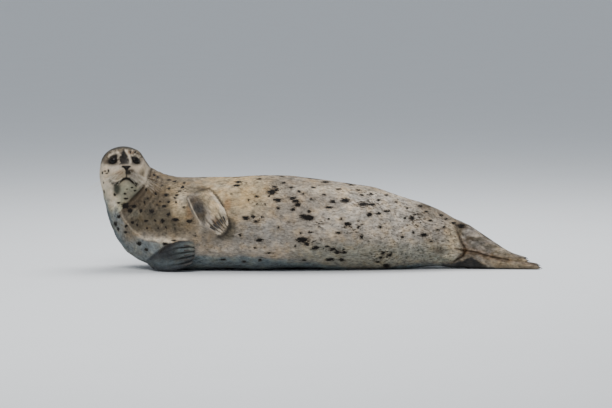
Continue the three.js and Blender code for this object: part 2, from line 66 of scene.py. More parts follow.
Array = np.ndarray
Colour = tuple[float, float, float]
Path = Sequence[tuple[float, float]]
Rows = tuple[tuple[float, float, float, float], ...]

MM = 0.001
FINGERS = 5


# ------------------------------------------------ numbers


def smooth(value: Array, low: float, high: float) -> Array:
    """A smooth rise from 0 at low to 1 at high; high may be the smaller."""
    t = np.clip((np.asarray(value, float) - low) / (high - low), 0.0, 1.0)
    return t * t * (3.0 - 2.0 * t)


def bell(value: Array, width: float) -> Array:
    """A bump of height 1 at zero, falling away over a width."""
    return np.exp(-((np.asarray(value, float) / width) ** 2))


def share_of(value: Array, low: float, high: float) -> Array:
    """How far a value is on the way from low to high."""
    return (value - low) / (high - low)


def turn_of(across: Array, along: Array) -> Array:
    """A direction round an axis, as a share of a full turn."""
    return np.arctan2(across, along) / (2 * math.pi) + 0.5


def unit(vectors: Array) -> Array:
    """Vectors scaled to length 1, row by row."""
    return vectors / np.maximum(np.linalg.norm(vectors, axis=-1, keepdims=True), 1e-9)


def path_distance(points: Array, path: Sequence[Sequence[float]]) -> tuple[Array, Array]:
    """How far points are from a path of straight runs.

    Args:
        points: One point a row.
        path: The path's corners, with as many coordinates as the points.

    Returns:
        The signed distance, positive to the left of the path in the plane (plain distance in space),
        and how far along the path the nearest place is, from 0 to 1.
    """
    corners = np.asarray(path, float)
    best = np.full(len(points), 1e9)
    place = np.zeros(len(points))
    side = np.ones(len(points))
    for index in range(len(corners) - 1):
        start, step = corners[index], corners[index + 1] - corners[index]
        away = points - start
        share = np.clip(away @ step / (step @ step), 0.0, 1.0)
        rest = away - share[:, None] * step
        distance = np.linalg.norm(rest, axis=1)
        nearer = distance < best
        best = np.where(nearer, distance, best)
        place = np.where(nearer, (index + share) / (len(corners) - 1), place)
        if corners.shape[1] == 2:
            turn = step[0] * away[:, 1] - step[1] * away[:, 0]
            side = np.where(nearer, np.sign(turn), side)
    return best * side, place


class Waves:
    """Smooth irregular waves in space, the same on every run."""

    def __init__(self, seed: int, size: float, count: int = 24) -> None:
        """Picks the waves.

        Args:
            seed: Which set of waves.
            size: The typical distance between crests.
            count: How many plane waves are added.
        """
        rng = np.random.default_rng(seed)
        ways = unit(rng.normal(size=(count, 3))) * (2 * math.pi / size)
        self.turns = ways * rng.uniform(0.6, 1.5, (count, 1))
        self.phases = rng.uniform(0, 2 * math.pi, count)

    def __call__(self, points: Array) -> Array:
        """The waves' height at points, mostly from -1 to 1."""
        return np.sin(points @ self.turns.T + self.phases).sum(axis=1) * (1.4 / math.sqrt(len(self.phases)))


# ------------------------------------------------ the head's own frame


@dataclass(frozen=True)
class HeadFrame:
    """Forward along the muzzle, left and up, from the middle of the head."""

    at: tuple[float, float, float] = (-788.0, -8.0, 419.0)
    yaw: float = 8.0
    pitch: float = 5.0

    @property
    def axes(self) -> Array:
        """Forward, left and up as rows.

        Returns:
            Three directions in the animal's frame.
        """
        yaw, pitch = math.radians(self.yaw), math.radians(self.pitch)
        forward = (math.sin(yaw) * math.cos(pitch), -math.cos(yaw) * math.cos(pitch), math.sin(pitch))
        left = (math.cos(yaw), math.sin(yaw), 0.0)
        return np.array([forward, left, np.cross(forward, left)])

    def into(self, points: Array) -> Array:
        """Points in the head's frame."""
        return (points - np.array(self.at)) @ self.axes.T

    def out(self, local: Sequence[float] | Array) -> Array:
        """Places given in the head's frame, back in the animal's."""
        return np.asarray(local, float) @ self.axes + np.array(self.at)


HEAD = HeadFrame()


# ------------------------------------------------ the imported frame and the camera


@dataclass(frozen=True)
class Frame:
    """The animal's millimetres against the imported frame's metres."""

    shift: tuple[float, float, float] = (-1.7, 4.5, 0.0)

    def metres(self, points: Array) -> Array:
        """Millimetres in the animal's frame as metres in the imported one."""
        return (np.asarray(points, float) + np.array(self.shift)) * MM

    def millimetres(self, points: Array) -> Array:
        """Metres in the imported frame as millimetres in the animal's."""
        return np.asarray(points, float) / MM - np.array(self.shift)


FRAME = Frame()


@dataclass(frozen=True)
class Viewpoint:
    """Where the camera stands, and how the animal's places look from there."""

    aim: tuple[float, float, float] = (-58.0, 0.0, 258.0)
    distance: float = 13600.0
    elevation: float = 5.0
    lens: float = 200.0
    sensor: float = 36.0

    @property
    def location(self) -> Array:
        """The camera's place, in millimetres."""
        rise = math.radians(self.elevation)
        return np.array(self.aim) + self.distance * np.array((0.0, -math.cos(rise), math.sin(rise)))

    @property
    def axes(self) -> Array:
        """Right, up and towards the camera as rows.

        Returns:
            Three directions in the animal's frame.
        """
        rise = math.radians(self.elevation)
        return np.array(
            [(1.0, 0.0, 0.0), (0.0, math.sin(rise), math.cos(rise)), (0.0, -math.cos(rise), math.sin(rise))]
        )

    def seen(self, points: Array) -> Array:
        """Points on the upright sheet through the aim: millimetres right of the aim and above it."""
        local = (points - np.array(self.aim)) @ self.axes.T
        return local[:, :2] * (self.distance / (self.distance - local[:, 2]))[:, None]

    def camera(self) -> bpy.types.Object:
        """Makes the scene's camera.

        Returns:
            The camera.
        """
        data = bpy.data.cameras.new("camera")
        data.lens, data.sensor_width, data.clip_end = self.lens, self.sensor, 100.0
        camera = bpy.data.objects.new("camera", data)
        camera.location = FRAME.metres(self.location)
        camera.rotation_euler = (math.radians(90.0 - self.elevation), 0.0, 0.0)
        bpy.context.scene.collection.objects.link(camera)
        bpy.context.scene.camera = camera
        return camera


VIEW = Viewpoint()


# ------------------------------------------------ meshes as arrays


def values_of(elements: Sequence, field: str, width: int = 1, kind: type = float) -> Array:
    """One property of all of a mesh's vertices, edges, corners or faces.

    Args:
        elements: The mesh's own list of them.
        field: The property's name.
        width: How many numbers each has.
        kind: What kind of number they are.

    Returns:
        The numbers, with a row for each element where it has several.
    """
    flat = np.zeros(len(elements) * width, kind)
    elements.foreach_get(field, flat)
    return flat.reshape(-1, width) if width > 1 else flat


@contextmanager
def editing(mesh: bpy.types.Mesh) -> Iterator[bmesh.types.BMesh]:
    """Opens a mesh for editing and writes it back afterwards.

    Args:
        mesh: The mesh.

    Yields:
        Its editable copy.
    """
    work = bmesh.new()
    work.from_mesh(mesh)
    work.verts.ensure_lookup_table()
    work.faces.ensure_lookup_table()
    yield work
    work.to_mesh(mesh)
    work.free()


@dataclass
class Shape:
    """A mesh in millimetres: places and faces."""

    places: Array
    faces: list[Sequence[int]]

    @classmethod
    def of_object(cls, obj: bpy.types.Object) -> Shape:
        """An object's mesh, with its loose triangles joined.

        Args:
            obj: One of the frame's objects.

        Returns:
            Its shape in millimetres.
        """
        mesh = obj.data
        mesh.calc_loop_triangles()
        places = places_of(mesh)
        triangles = values_of(mesh.loop_triangles, "vertices", 3, np.int64)
        _, first, back = np.unique(np.round(places, 2), axis=0, return_index=True, return_inverse=True)
        joined = back.reshape(-1)[triangles]
        real = (joined != np.roll(joined, 1, axis=1)).all(axis=1)
        return cls(places[first], joined[real].tolist())

    def normals(self) -> Array:
        """The outward direction at each place, for triangles.

        Returns:
            One direction a place.
        """
        faces = np.asarray(self.faces)
        corners = self.places[faces]
        across = np.cross(corners[:, 1] - corners[:, 0], corners[:, 2] - corners[:, 0])
        total = np.zeros_like(self.places)
        for corner in range(3):
            np.add.at(total, faces[:, corner], across)
        return unit(total)

    def swollen(self, margin: float) -> Shape:
        """The same shape with every place moved outwards."""
        return Shape(self.places + margin * self.normals(), self.faces)

    @staticmethod
    def together(shapes: Iterable[Shape]) -> Shape:
        """Several shapes as one.

        Args:
            shapes: The shapes.

        Returns:
            One shape with all their faces.
        """
        places, faces, count = [], [], 0
        for shape in shapes:
            places.append(shape.places)
            faces.extend([index + count for index in face] for face in shape.faces)
            count += len(shape.places)
        return Shape(np.concatenate(places), faces)

    def mesh(self, name: str) -> bpy.types.Mesh:
        """A Blender mesh of it, in metres.

        Args:
            name: Its name.

        Returns:
            The mesh.
        """
        mesh = bpy.data.meshes.new(name)
        mesh.from_pydata(FRAME.metres(self.places).tolist(), [], self.faces)
        mesh.shade_smooth()
        return mesh


def linked(name: str, mesh: bpy.types.Mesh) -> bpy.types.Object:
    """A new object of a mesh, in the scene.

    Args:
        name: Its name.
        mesh: The mesh.

    Returns:
        The object.
    """
    obj = bpy.data.objects.new(name, mesh)
    bpy.context.scene.collection.objects.link(obj)
    return obj


def dropped(obj: bpy.types.Object) -> None:
    """Removes a helper object and its mesh.

    Args:
        obj: The helper.
    """
    mesh = obj.data
    bpy.data.objects.remove(obj)
    bpy.data.meshes.remove(mesh)


def baked(obj: bpy.types.Object) -> bpy.types.Mesh:
    """The mesh of an object with its modifiers applied; the helper object is removed.

    Args:
        obj: The helper.

    Returns:
        The mesh.
    """
    seen = obj.evaluated_get(bpy.context.evaluated_depsgraph_get())
    mesh = bpy.data.meshes.new_from_object(seen)
    dropped(obj)
    return mesh


def places_of(mesh: bpy.types.Mesh) -> Array:
    """A mesh's places in the animal's millimetres."""
    return FRAME.millimetres(values_of(mesh.vertices, "co", 3))


def put_places(mesh: bpy.types.Mesh, places: Array) -> None:
    """Moves a mesh's vertices to places in the animal's millimetres."""
    mesh.vertices.foreach_set("co", FRAME.metres(places).ravel())
    mesh.update()


def normals_of(mesh: bpy.types.Mesh) -> Array:
    """A mesh's outward directions, one a vertex."""
    return values_of(mesh.vertices, "normal", 3)


class Neighbours:
    """Averages over the vertices next to each vertex."""

    def __init__(self, pairs: Array, count: int) -> None:
        """Keeps the pairs both ways round.

        Args:
            pairs: The vertices at the ends of each edge.
            count: How many vertices the mesh has.
        """
        self.ends = np.concatenate([pairs[:, 0], pairs[:, 1]])
        self.starts = np.concatenate([pairs[:, 1], pairs[:, 0]])
        self.count = count
        self.degree = np.maximum(np.bincount(self.ends, minlength=count), 1)

    @classmethod
    def of(cls, mesh: bpy.types.Mesh) -> Neighbours:
        """The neighbours along a mesh's edges."""
        return cls(values_of(mesh.edges, "vertices", 2, np.int64), len(mesh.vertices))

    def mean(self, values: Array) -> Array:
        """The mean of a value over each vertex's neighbours.

        Args:
            values: One value or row a vertex.

        Returns:
            The means, in the same form.
        """
        columns = values.reshape(self.count, -1)
        total = [np.bincount(self.ends, column[self.starts], self.count) for column in columns.T]
        return (np.stack(total, axis=1) / self.degree[:, None]).reshape(values.shape)

    def relaxed(self, values: Array, rounds: int, weight: Array | float = 1.0) -> Array:
        """Values drawn towards their neighbours' mean, again and again.

        Args:
            values: One value or row a vertex.
            rounds: How often.
            weight: How far each vertex takes part, from 0 to 1.

        Returns:
            The evened values.
        """
        share = 0.5 * np.asarray(weight, float)
        if share.ndim and values.ndim > 1:
            share = share[:, None]
        for _ in range(rounds):
            values = values + share * (self.mean(values) - values)
        return values


# ------------------------------------------------ the skin


class Part(Enum):
    """The flesh that a place on the skin belongs to."""

    HEAD = "head"
    LOWER_JAW = "lower_jaw"
    NECK = "neck"
    CHEST = "chest"
    BELLY = "belly"
    HIPS = "hips"
    TAIL = "tail"
    FORE_LEFT = "foreflipper_left"
    FORE_RIGHT = "foreflipper_right"
    HIND_LEFT = "hindflipper_left"
    HIND_RIGHT = "hindflipper_right"
    EYE_LEFT = "eye_left"
    EYE_RIGHT = "eye_right"


EYE_PARTS = (Part.EYE_LEFT, Part.EYE_RIGHT)
HEAD_PARTS = (Part.HEAD, Part.LOWER_JAW, *EYE_PARTS)
FORE_PARTS = (Part.FORE_LEFT, Part.FORE_RIGHT)
HIND_PARTS = (Part.HIND_LEFT, Part.HIND_RIGHT, Part.TAIL)
LIMB_PARTS = FORE_PARTS + HIND_PARTS
FLESH_PARTS = tuple(part for part in Part if part not in EYE_PARTS)
PART_NUMBER = {part: number for number, part in enumerate(Part)}

# How far the lumps of the frame are smoothed out of the skin, in rounds of averaging.
ROUNDS = {
    Part.HEAD: 7, Part.LOWER_JAW: 7, Part.NECK: 34, Part.CHEST: 60, Part.BELLY: 60, Part.HIPS: 50,
    **{part: 3 for part in LIMB_PARTS}, **{part: 4 for part in EYE_PARTS},
}


@dataclass(frozen=True)
class Grain:
    """How finely the skin is meshed along the body: a stretch of space before it is meshed evenly."""

    cell: float = 7.85
    stations: tuple[tuple[float, float], ...] = (
        (-1000.0, 2.35), (-720.0, 2.2), (-640.0, 1.35), (-560.0, 1.16), (-390.0, 1.16), (-290.0, 1.05),
        (480.0, 1.0), (600.0, 1.66), (1000.0, 1.66),
    )
    middle: float = 150.0
    half: float = 1000.0
    step: float = 2.0
    window: int = 31

    def _curves(self) -> tuple[Array, Array, Array]:
        """The stretch along the body.

        Returns:
            Places along the body, the stretch at each, and where the stretch puts them.
        """
        x = np.arange(-self.half, self.half + 1.0, self.step)
        size = np.pad(np.interp(x, *zip(*self.stations)), self.window // 2, mode="edge")
        size = np.convolve(size, np.ones(self.window) / self.window, mode="valid")
        return x, size, np.concatenate([[0.0], np.cumsum((size[1:] + size[:-1]) / 2 * self.step)])

    def spread(self, places: Array) -> Array:
        """Places in the stretched space.

        Args:
            places: Millimetres.

        Returns:
            The places, stretched.
        """
        x, size, along = self._curves()
        here = np.interp(places[:, 0], x, size)
        lift = places - np.array((0.0, 0.0, self.middle))
        return np.stack([np.interp(places[:, 0], x, along), lift[:, 1] * here, lift[:, 2] * here], axis=1)

    def gathered(self, places: Array) -> Array:
        """Places in the stretched space brought back.

        Args:
            places: Places in the stretched space.

        Returns:
            Millimetres.
        """
        x, size, along = self._curves()
        back = np.interp(places[:, 0], along, x)
        here = np.interp(back, x, size)
        return np.stack([back, places[:, 1] / here, places[:, 2] / here + self.middle], axis=1)


@dataclass
class Skin:
    """The one skin over all the flesh, made from the frame's objects by name."""

    nodes: dict[str, bpy.types.Object]
    grain: Grain = Grain()
    lid: float = 1.7
    overlap: float = 0.45

    def __post_init__(self) -> None:
        """Meshes the flesh as one closed surface."""
        self.mesh = self._meshed()
        self._smoothed()

    def _meshed(self) -> bpy.types.Mesh:
        """One mesh round the solids, finer towards the head and the flippers.

        Returns:
            The mesh, still with the frame's facets in it.
        """
        self.solids = {part: Shape.of_object(self.nodes[part.value]) for part in Part}
        grown = {p: s.swollen(self.lid if p in EYE_PARTS else self.overlap) for p, s in self.solids.items()}
        every = Shape.together(grown.values())
        every.places = self.grain.spread(every.places)
        helper = linked("helper", every.mesh("helper"))
        remesh = helper.modifiers.new("even", "REMESH")
        remesh.mode, remesh.voxel_size = "VOXEL", self.grain.cell * MM
        mesh = baked(helper)
        put_places(mesh, self.grain.gathered(places_of(mesh)))
        return self._outermost(mesh)

    @staticmethod
    def _outermost(mesh: bpy.types.Mesh) -> bpy.types.Mesh:
        """The largest connected surface alone.

        Args:
            mesh: The mesh, which is changed.

        Returns:
            The same mesh.
        """
        pairs = values_of(mesh.edges, "vertices", 2, np.int64)
        group = np.arange(len(mesh.vertices))
        while True:
            low = np.minimum(group[pairs[:, 0]], group[pairs[:, 1]])
            before = group.copy()
            np.minimum.at(group, pairs[:, 0], low)
            np.minimum.at(group, pairs[:, 1], low)
            group = group[group]
            if np.array_equal(group, before):
                break
        names, counts = np.unique(group, return_counts=True)
        if len(names) > 1:
            keep = names[np.argmax(counts)]
            with editing(mesh) as work:
                stray = [work.verts[i] for i in np.flatnonzero(group != keep)]
                bmesh.ops.delete(work, geom=stray, context="VERTS")
        return mesh

    def labelled(self, places: Array) -> Array:
        """The number of the part that is nearest to each place.

        Args:
            places: Millimetres.

        Returns:
            One number a place.
        """
        every = Shape.together(self.solids.values())
        owner = np.concatenate([[PART_NUMBER[part]] * len(s.faces) for part, s in self.solids.items()])
        tree = BVHTree.FromPolygons(every.places.tolist(), every.faces)
        return np.array([owner[tree.find_nearest(place)[2]] for place in places.tolist()])

    def _smoothed(self) -> None:
        """Smooths the frame's facets away, least where the shape is fine."""
        places = places_of(self.mesh)
        near = Neighbours.of(self.mesh)
        rounds = np.array([ROUNDS[part] for part in Part], float)[self.labelled(places)]
        rounds = np.minimum(near.relaxed(rounds, 12), rounds * 1.5 + 4)
        most = int(rounds.max())
        put_places(self.mesh, near.relaxed(places, most, rounds / most))

    def refined(self, wanted: Callable[[Array], Array]) -> None:
        """Halves the mesh where it is wanted.

        Args:
            wanted: Tells which places are in the finer patch.
        """
        inside = wanted(places_of(self.mesh))
        with editing(self.mesh) as work:
            edges = [e for e in work.edges if inside[e.verts[0].index] and inside[e.verts[1].index]]
            bmesh.ops.subdivide_edges(work, edges=edges, cuts=1, use_grid_fill=True, smooth=0.0)
        self.mesh.shade_smooth()
        places = places_of(self.mesh)
        near = Neighbours.of(self.mesh)
        put_places(self.mesh, near.relaxed(places, 2, wanted(places).astype(float)))


@dataclass(frozen=True)
class Eye:
    """An eyeball, the way it looks, and the opening of its lids."""

    side: int
    radius: float = 20.0
    at: tuple[float, float, float] = (57.0, 39.0, 12.0)
    opening: tuple[float, float] = (15.0, 12.0)
    look: tuple[float, float, float] = (0.86, 0.5, -0.16)
    slant: float = -9.0

    @property
    def centre(self) -> Array:
        """The middle of the ball, in the head's frame."""
        forward, left, up = self.at
        return np.array((forward, self.side * left, up))

    @property
    def axes(self) -> Array:
        """The way it looks, across the opening and up it, as rows in the head's frame.

        Returns:
            Three directions in the head's frame.
        """
        out = unit(np.array((self.look[0], self.side * self.look[1], self.look[2])))
        across = unit(np.cross((0.0, 0.0, 1.0), out)) * self.side
        tilt = math.radians(self.slant)
        up = np.cross(out, across) * self.side
        turned = across * math.cos(tilt) + up * math.sin(tilt)
        return np.array([out, turned, up * math.cos(tilt) - across * math.sin(tilt)])

    def opened(self, local: Array) -> tuple[Array, Array, Array]:
        """Where places are against the opening.

        Args:
            local: Places in the head's frame.

        Returns:
            How far each is from the ball's middle, the way to it, and its place against the lids' edge:
            below 1 inside the opening, and large behind the ball.
        """
        away = local - self.centre
        reach = np.linalg.norm(away, axis=1)
        way = away / np.maximum(reach, 1e-6)[:, None]
        out, across, up = (way @ self.axes.T).T
        wide, tall = self.opening
        arch = np.where(up > 0, tall * 1.06, tall * 0.9)
        rim = (np.abs(across * self.radius / wide) ** 2.0 + np.abs(up * self.radius / arch) ** 2.0) ** 0.5
        return reach, way, np.where((out > 0.15) & (reach < self.radius + 16), rim, 9.0)


EYES = (Eye(1), Eye(-1))


@dataclass(frozen=True)
class Face:
    """Lids, nose, mouth and whisker pads, drawn in the head's frame."""

    mouth: Path = (
        (-68, -66), (-62, -71), (-44, -81), (-33, -75), (-22, -66), (-10, -59), (0, -57), (10, -59),
        (22, -66), (33, -75), (44, -81), (62, -71), (68, -66),
    )
    nostril: Path = ((2.2, -25), (4.4, -20.5), (8.2, -16), (12.4, -13), (15.5, -12.5))
    ear: tuple[float, float] = (2.0, 4.0)
    pad_start: float = 14.0
    pad_width: float = 40.0
    whisker_rows: int = 6
    whiskers_a_row: int = 8

    def patch(self, places: Array) -> Array:
        """The front of the face, which is meshed more finely.

        Args:
            places: Millimetres.

        Returns:
            Which places are in it.
        """
        forward, left, up = HEAD.into(places).T
        eyes = np.abs(np.abs(left) - 52) < 27
        return (forward > 62) & (np.abs(left) < 76) & (up > -94) & ((up < -6) | (eyes & (up < 38)))

    def lids(self, places: Array) -> Array:
        """The openings of the eyes, with the edges of the lids.

        Args:
            places: Millimetres.

        Returns:
            The places, moved.
        """
        local = HEAD.into(places)
        for eye in EYES:
            reach, way, rim = eye.opened(local)
            ball = eye.radius
            sunk = smooth(rim, 1.06, 0.94)
            lid = smooth(rim, 1.75, 1.2) * (1 - sunk)
            want = reach + lid * (ball + 1.5 + 0.8 * bell(rim - 1.18, 0.16) - reach)
            crease = bell(rim - 1.62, 0.13) * (way @ eye.axes[2] > -0.1) * smooth(reach, ball + 12, ball + 4)
            want = want - 1.4 * crease
            want = want + sunk * (ball - 2.6 - want)
            local = eye.centre + way * want[:, None]
        return HEAD.out(local)

    def mouth_at(self, local: Array) -> Array:
        """How far places are from the line of the lips, negative below it."""
        distance, _ = path_distance(local[:, 1:], self.mouth)
        return distance

    def nostril_at(self, local: Array) -> Array:
        """How far places are from the nearer slit of the nose.

        Args:
            local: Places in the head's frame.

        Returns:
            Millimetres.
        """
        folded = np.stack([np.abs(local[:, 1]), local[:, 2]], axis=1)
        distance, _ = path_distance(folded, self.nostril)
        return np.where(local[:, 0] > 96, np.abs(distance), 99.0)

    def ear_at(self, local: Array) -> Array:
        """How far places are from the small opening of the nearer ear."""
        forward, up = self.ear
        return np.where(np.abs(local[:, 1]) > 45, np.hypot(local[:, 0] - forward, local[:, 2] - up), 99.0)

    def follicles(self) -> Array:
        """The roots of the whiskers on one side, left and up in the head's frame.

        Returns:
            One root a row.
        """
        spots = []
        for row in range(self.whisker_rows):
            for place in range(self.whiskers_a_row):
                if row in (0, self.whisker_rows - 1) and place > 5:
                    continue
                share = place / (self.whiskers_a_row - 1)
                left = self.pad_start + self.pad_width * share + 1.6 * (row % 2)
                up = -30.0 - 6.6 * row - 7.0 * share - 3.0 * share * share * (2.5 - row)
                spots.append((left, up))
        return np.array(spots)

    def shaped(self, places: Array, outward: Array) -> Array:
        """Places moved to form the nose, the lips and the pads.

        Args:
            places: Millimetres.
            outward: The skin's outward direction at each.

        Returns:
            The places, moved.
        """
        local = HEAD.into(places)
        forward, left, up = local.T
        front = smooth(forward, 40, 70)
        lip = self.mouth_at(local)
        lift = np.zeros(len(places))
        lift -= 6.5 * bell(lip, 2.2) * front
        lift += 2.4 * bell(lip - 7.0, 5.0) * front
        lift -= 3.4 * bell(lip + 5.5, 4.5) * front
        nostril = self.nostril_at(local)
        lift -= 5.0 * bell(nostril, 1.5)
        lift += 1.3 * bell(nostril - 4.2, 2.4)
        tip = bell(left, 15.0) * bell(up + 22.0, 9.0) * smooth(forward, 105, 120)
        lift += 1.5 * tip
        groove = bell(left, 1.6) * smooth(up, -60, -54) * smooth(up, -29, -33) * smooth(forward, 80, 100)
        lift -= 2.8 * groove
        beside = bell(np.abs(left) - 7.5, 4.5) * smooth(up, -56, -48) * smooth(up, -28, -36)
        lift += 1.6 * beside * smooth(forward, 90, 105)
        pad = bell(np.abs(left) - 30.0, 21.0) * bell(up + 47.0, 19.0) * smooth(forward, 70, 95)
        lift += 4.2 * pad
        rows = np.zeros(len(places))
        for root_left, root_up in self.follicles():
            rows += bell(np.hypot(np.abs(left) - root_left, up - root_up), 2.3)
        lift += 1.1 * rows * smooth(forward, 60, 80)
        lift -= 1.6 * bell(np.abs(left) - 9.0, 6.0) * bell(up - 14.0, 26.0) * smooth(forward, 50, 70)
        for way in (-1, 1):
            line = ((way * 46.0, -18.0), (way * 60.0, -34.0), (way * 66.0, -58.0))
            cheek, along = path_distance(local[:, 1:], line)
            lift -= 1.5 * bell(cheek, 5.0) * front * np.sin(math.pi * along)
        lift -= 3.2 * bell(self.ear_at(local), 2.6) - 0.8 * bell(self.ear_at(local) - 5.0, 2.6)
        chin = bell(np.hypot(left, (up + 84.0) * 1.2), 24.0) * smooth(forward, 60, 90)
        lift += 1.6 * chin
        return places + lift[:, None] * outward


@dataclass(frozen=True)
class Fold:
    """A crease, or a ridge where it is raised, along a path on the side that faces the camera."""

    path: Path
    depth: float
    width: float
    shoulder: float = 0.35

    def lift(self, sheet: Array) -> Array:
        """How far it moves places outwards.

        Args:
            sheet: The places as the camera sees them.

        Returns:
            Millimetres outwards, which is inwards in a crease.
        """
        distance, along = path_distance(sheet, self.path)
        ends = np.clip(np.minimum(along, 1 - along) * 5, 0, 1)
        lip = bell(np.abs(distance) - 2.1 * self.width, 1.3 * self.width)
        return -self.depth * (bell(distance, self.width) - self.shoulder * lip) * ends


# The deep crease behind the cheek, and the lesser ones under the throat.
CHEEK_FOLD = Fold(((-615, 150), (-624, 116), (-638, 84), (-664, 52), (-700, 16), (-722, -6)), 9, 6.5)
THROAT_FOLDS = (
    Fold(((-606, 130), (-616, 96), (-632, 64), (-652, 34), (-684, 0)), 2.6, 4.5),
    Fold(((-592, 112), (-600, 76), (-612, 40), (-636, 4), (-662, -24)), 2, 4.5),
    Fold(((-576, 96), (-584, 56), (-592, 16), (-608, -20)), 1.5, 4.5),
    Fold(((-560, 84), (-566, 44), (-570, 4)), 1.1, 4.5),
)
# The roll across the chest.
CHEST_FOLDS = (
    Fold(((-742, -36), (-716, -92), (-676, -126), (-634, -139), (-556, -148)), -4.5, 15, 0.2),
    Fold(((-752, -60), (-722, -118), (-676, -152), (-616, -164)), 3.2, 13, 0.1),
)
# The deep crease before the hind flippers, and the lesser ones beside it.
HIND_FOLD = Fold(((593, -58), (602, -104), (620, -146), (638, -184), (628, -208), (590, -230)), 8, 6, 0.25)
RUMP_FOLD = Fold(((599, -179), (616, -182), (636, -188)), 4.5, 3)
HIP_FOLDS = (
    Fold(((628, -70), (648, -108), (668, -150)), 1.6, 5),
    Fold(((652, -84), (670, -116), (688, -150)), 1.3, 5),
)
# Slack skin round the base of the upper fore flipper.
FLIPPER_FOLDS = (
    Fold(((-540, 78), (-500, 84), (-462, 76), (-440, 52)), 2.6, 5),
    Fold(((-556, 92), (-506, 100), (-456, 94), (-424, 66)), 1.6, 5),
    Fold(((-430, 60), (-414, 30), (-398, -4)), 3, 5),
)
FOLDS = (CHEEK_FOLD, *THROAT_FOLDS, *CHEST_FOLDS, HIND_FOLD, RUMP_FOLD, *HIP_FOLDS, *FLIPPER_FOLDS)


@dataclass(frozen=True)
class Flipper:
    """A flipper's blade, as stations from its root: the ends of its width on a flat sheet."""

    part: Part
    stations: Rows
    flat: tuple[int, int]
    groove: float

    def across(self, places: Array) -> tuple[Array, Array]:
        """Where places are on the blade.

        Args:
            places: Millimetres.

        Returns:
            How far along it they are, from 0 to 1, and how far across, from -1 to 1.
        """
        grid_along, grid_across = np.meshgrid(np.linspace(0, 1, 90), np.linspace(-1, 1, 61), indexing="ij")
        stops = np.linspace(0, 1, len(self.stations))
        one_x, one_y, two_x, two_y = (np.interp(grid_along, stops, column) for column in zip(*self.stations))
        share = (grid_across + 1) / 2
        spots = np.stack([one_x + share * (two_x - one_x), one_y + share * (two_y - one_y)], -1)
        tree = KDTree(spots.size // 2)
        flat_spots = spots.reshape(-1, 2)
        for index, (one, two) in enumerate(flat_spots.tolist()):
            tree.insert((one, two, 0.0), index)
        tree.balance()
        found = [tree.find((one, two, 0.0))[1] for one, two in places[:, list(self.flat)].tolist()]
        return grid_along.ravel()[found], grid_across.ravel()[found]


def from_webs(across: Array) -> Array:
    """How far places across a blade are from the nearest web between two fingers."""
    web = (across * FINGERS + 1) / 2
    return np.abs(web - np.round(web)) * 2 / FINGERS


def belong(numbers: Array, parts: Iterable[Part]) -> Array:
    """Which of the vertices' part numbers are some parts'."""
    return np.isin(numbers, [PART_NUMBER[part] for part in parts])


def hind_stations(rows: Sequence[tuple[float, float, float]]) -> Rows:
    """A hind flipper's stations from x, the middle's y and half its width."""
    return tuple((x, y - wide, x, y + wide) for x, y, wide in rows)


FLIPPER_BLADES = (
    Flipper(
        Part.FORE_LEFT,
        (
            (-456, 338, -536, 316), (-442, 322, -530, 290), (-424, 302, -516, 260), (-404, 277, -492, 228),
            (-386, 250, -464, 195), (-373, 219, -430, 167), (-366, 197, -402, 153),
        ),
        (0, 2), 4.2,
    ),
    Flipper(
        Part.FORE_RIGHT,
        (
            (-672, 12, -696, 34), (-650, 6, -676, 52), (-624, 4, -646, 80), (-590, 5, -604, 107),
            (-556, 11, -564, 121), (-520, 23, -522, 124), (-503, 34, -498, 117),
        ),
        (0, 2), 4.2,
    ),
    Flipper(
        Part.HIND_LEFT,
        hind_stations((
            (510, 12, 50), (598, 6, 50), (680, 7, 48), (728, 10, 53), (776, 14, 59), (834, 18, 62),
        )),
        (0, 1), 2.2,
    ),
    Flipper(
        Part.HIND_RIGHT,
        hind_stations((
            (500, 8, 46), (604, 4, 50), (662, 2, 48), (722, 2, 53), (784, 4, 60), (884, 9, 70),
        )),
        (0, 1), 2,
    ),
)


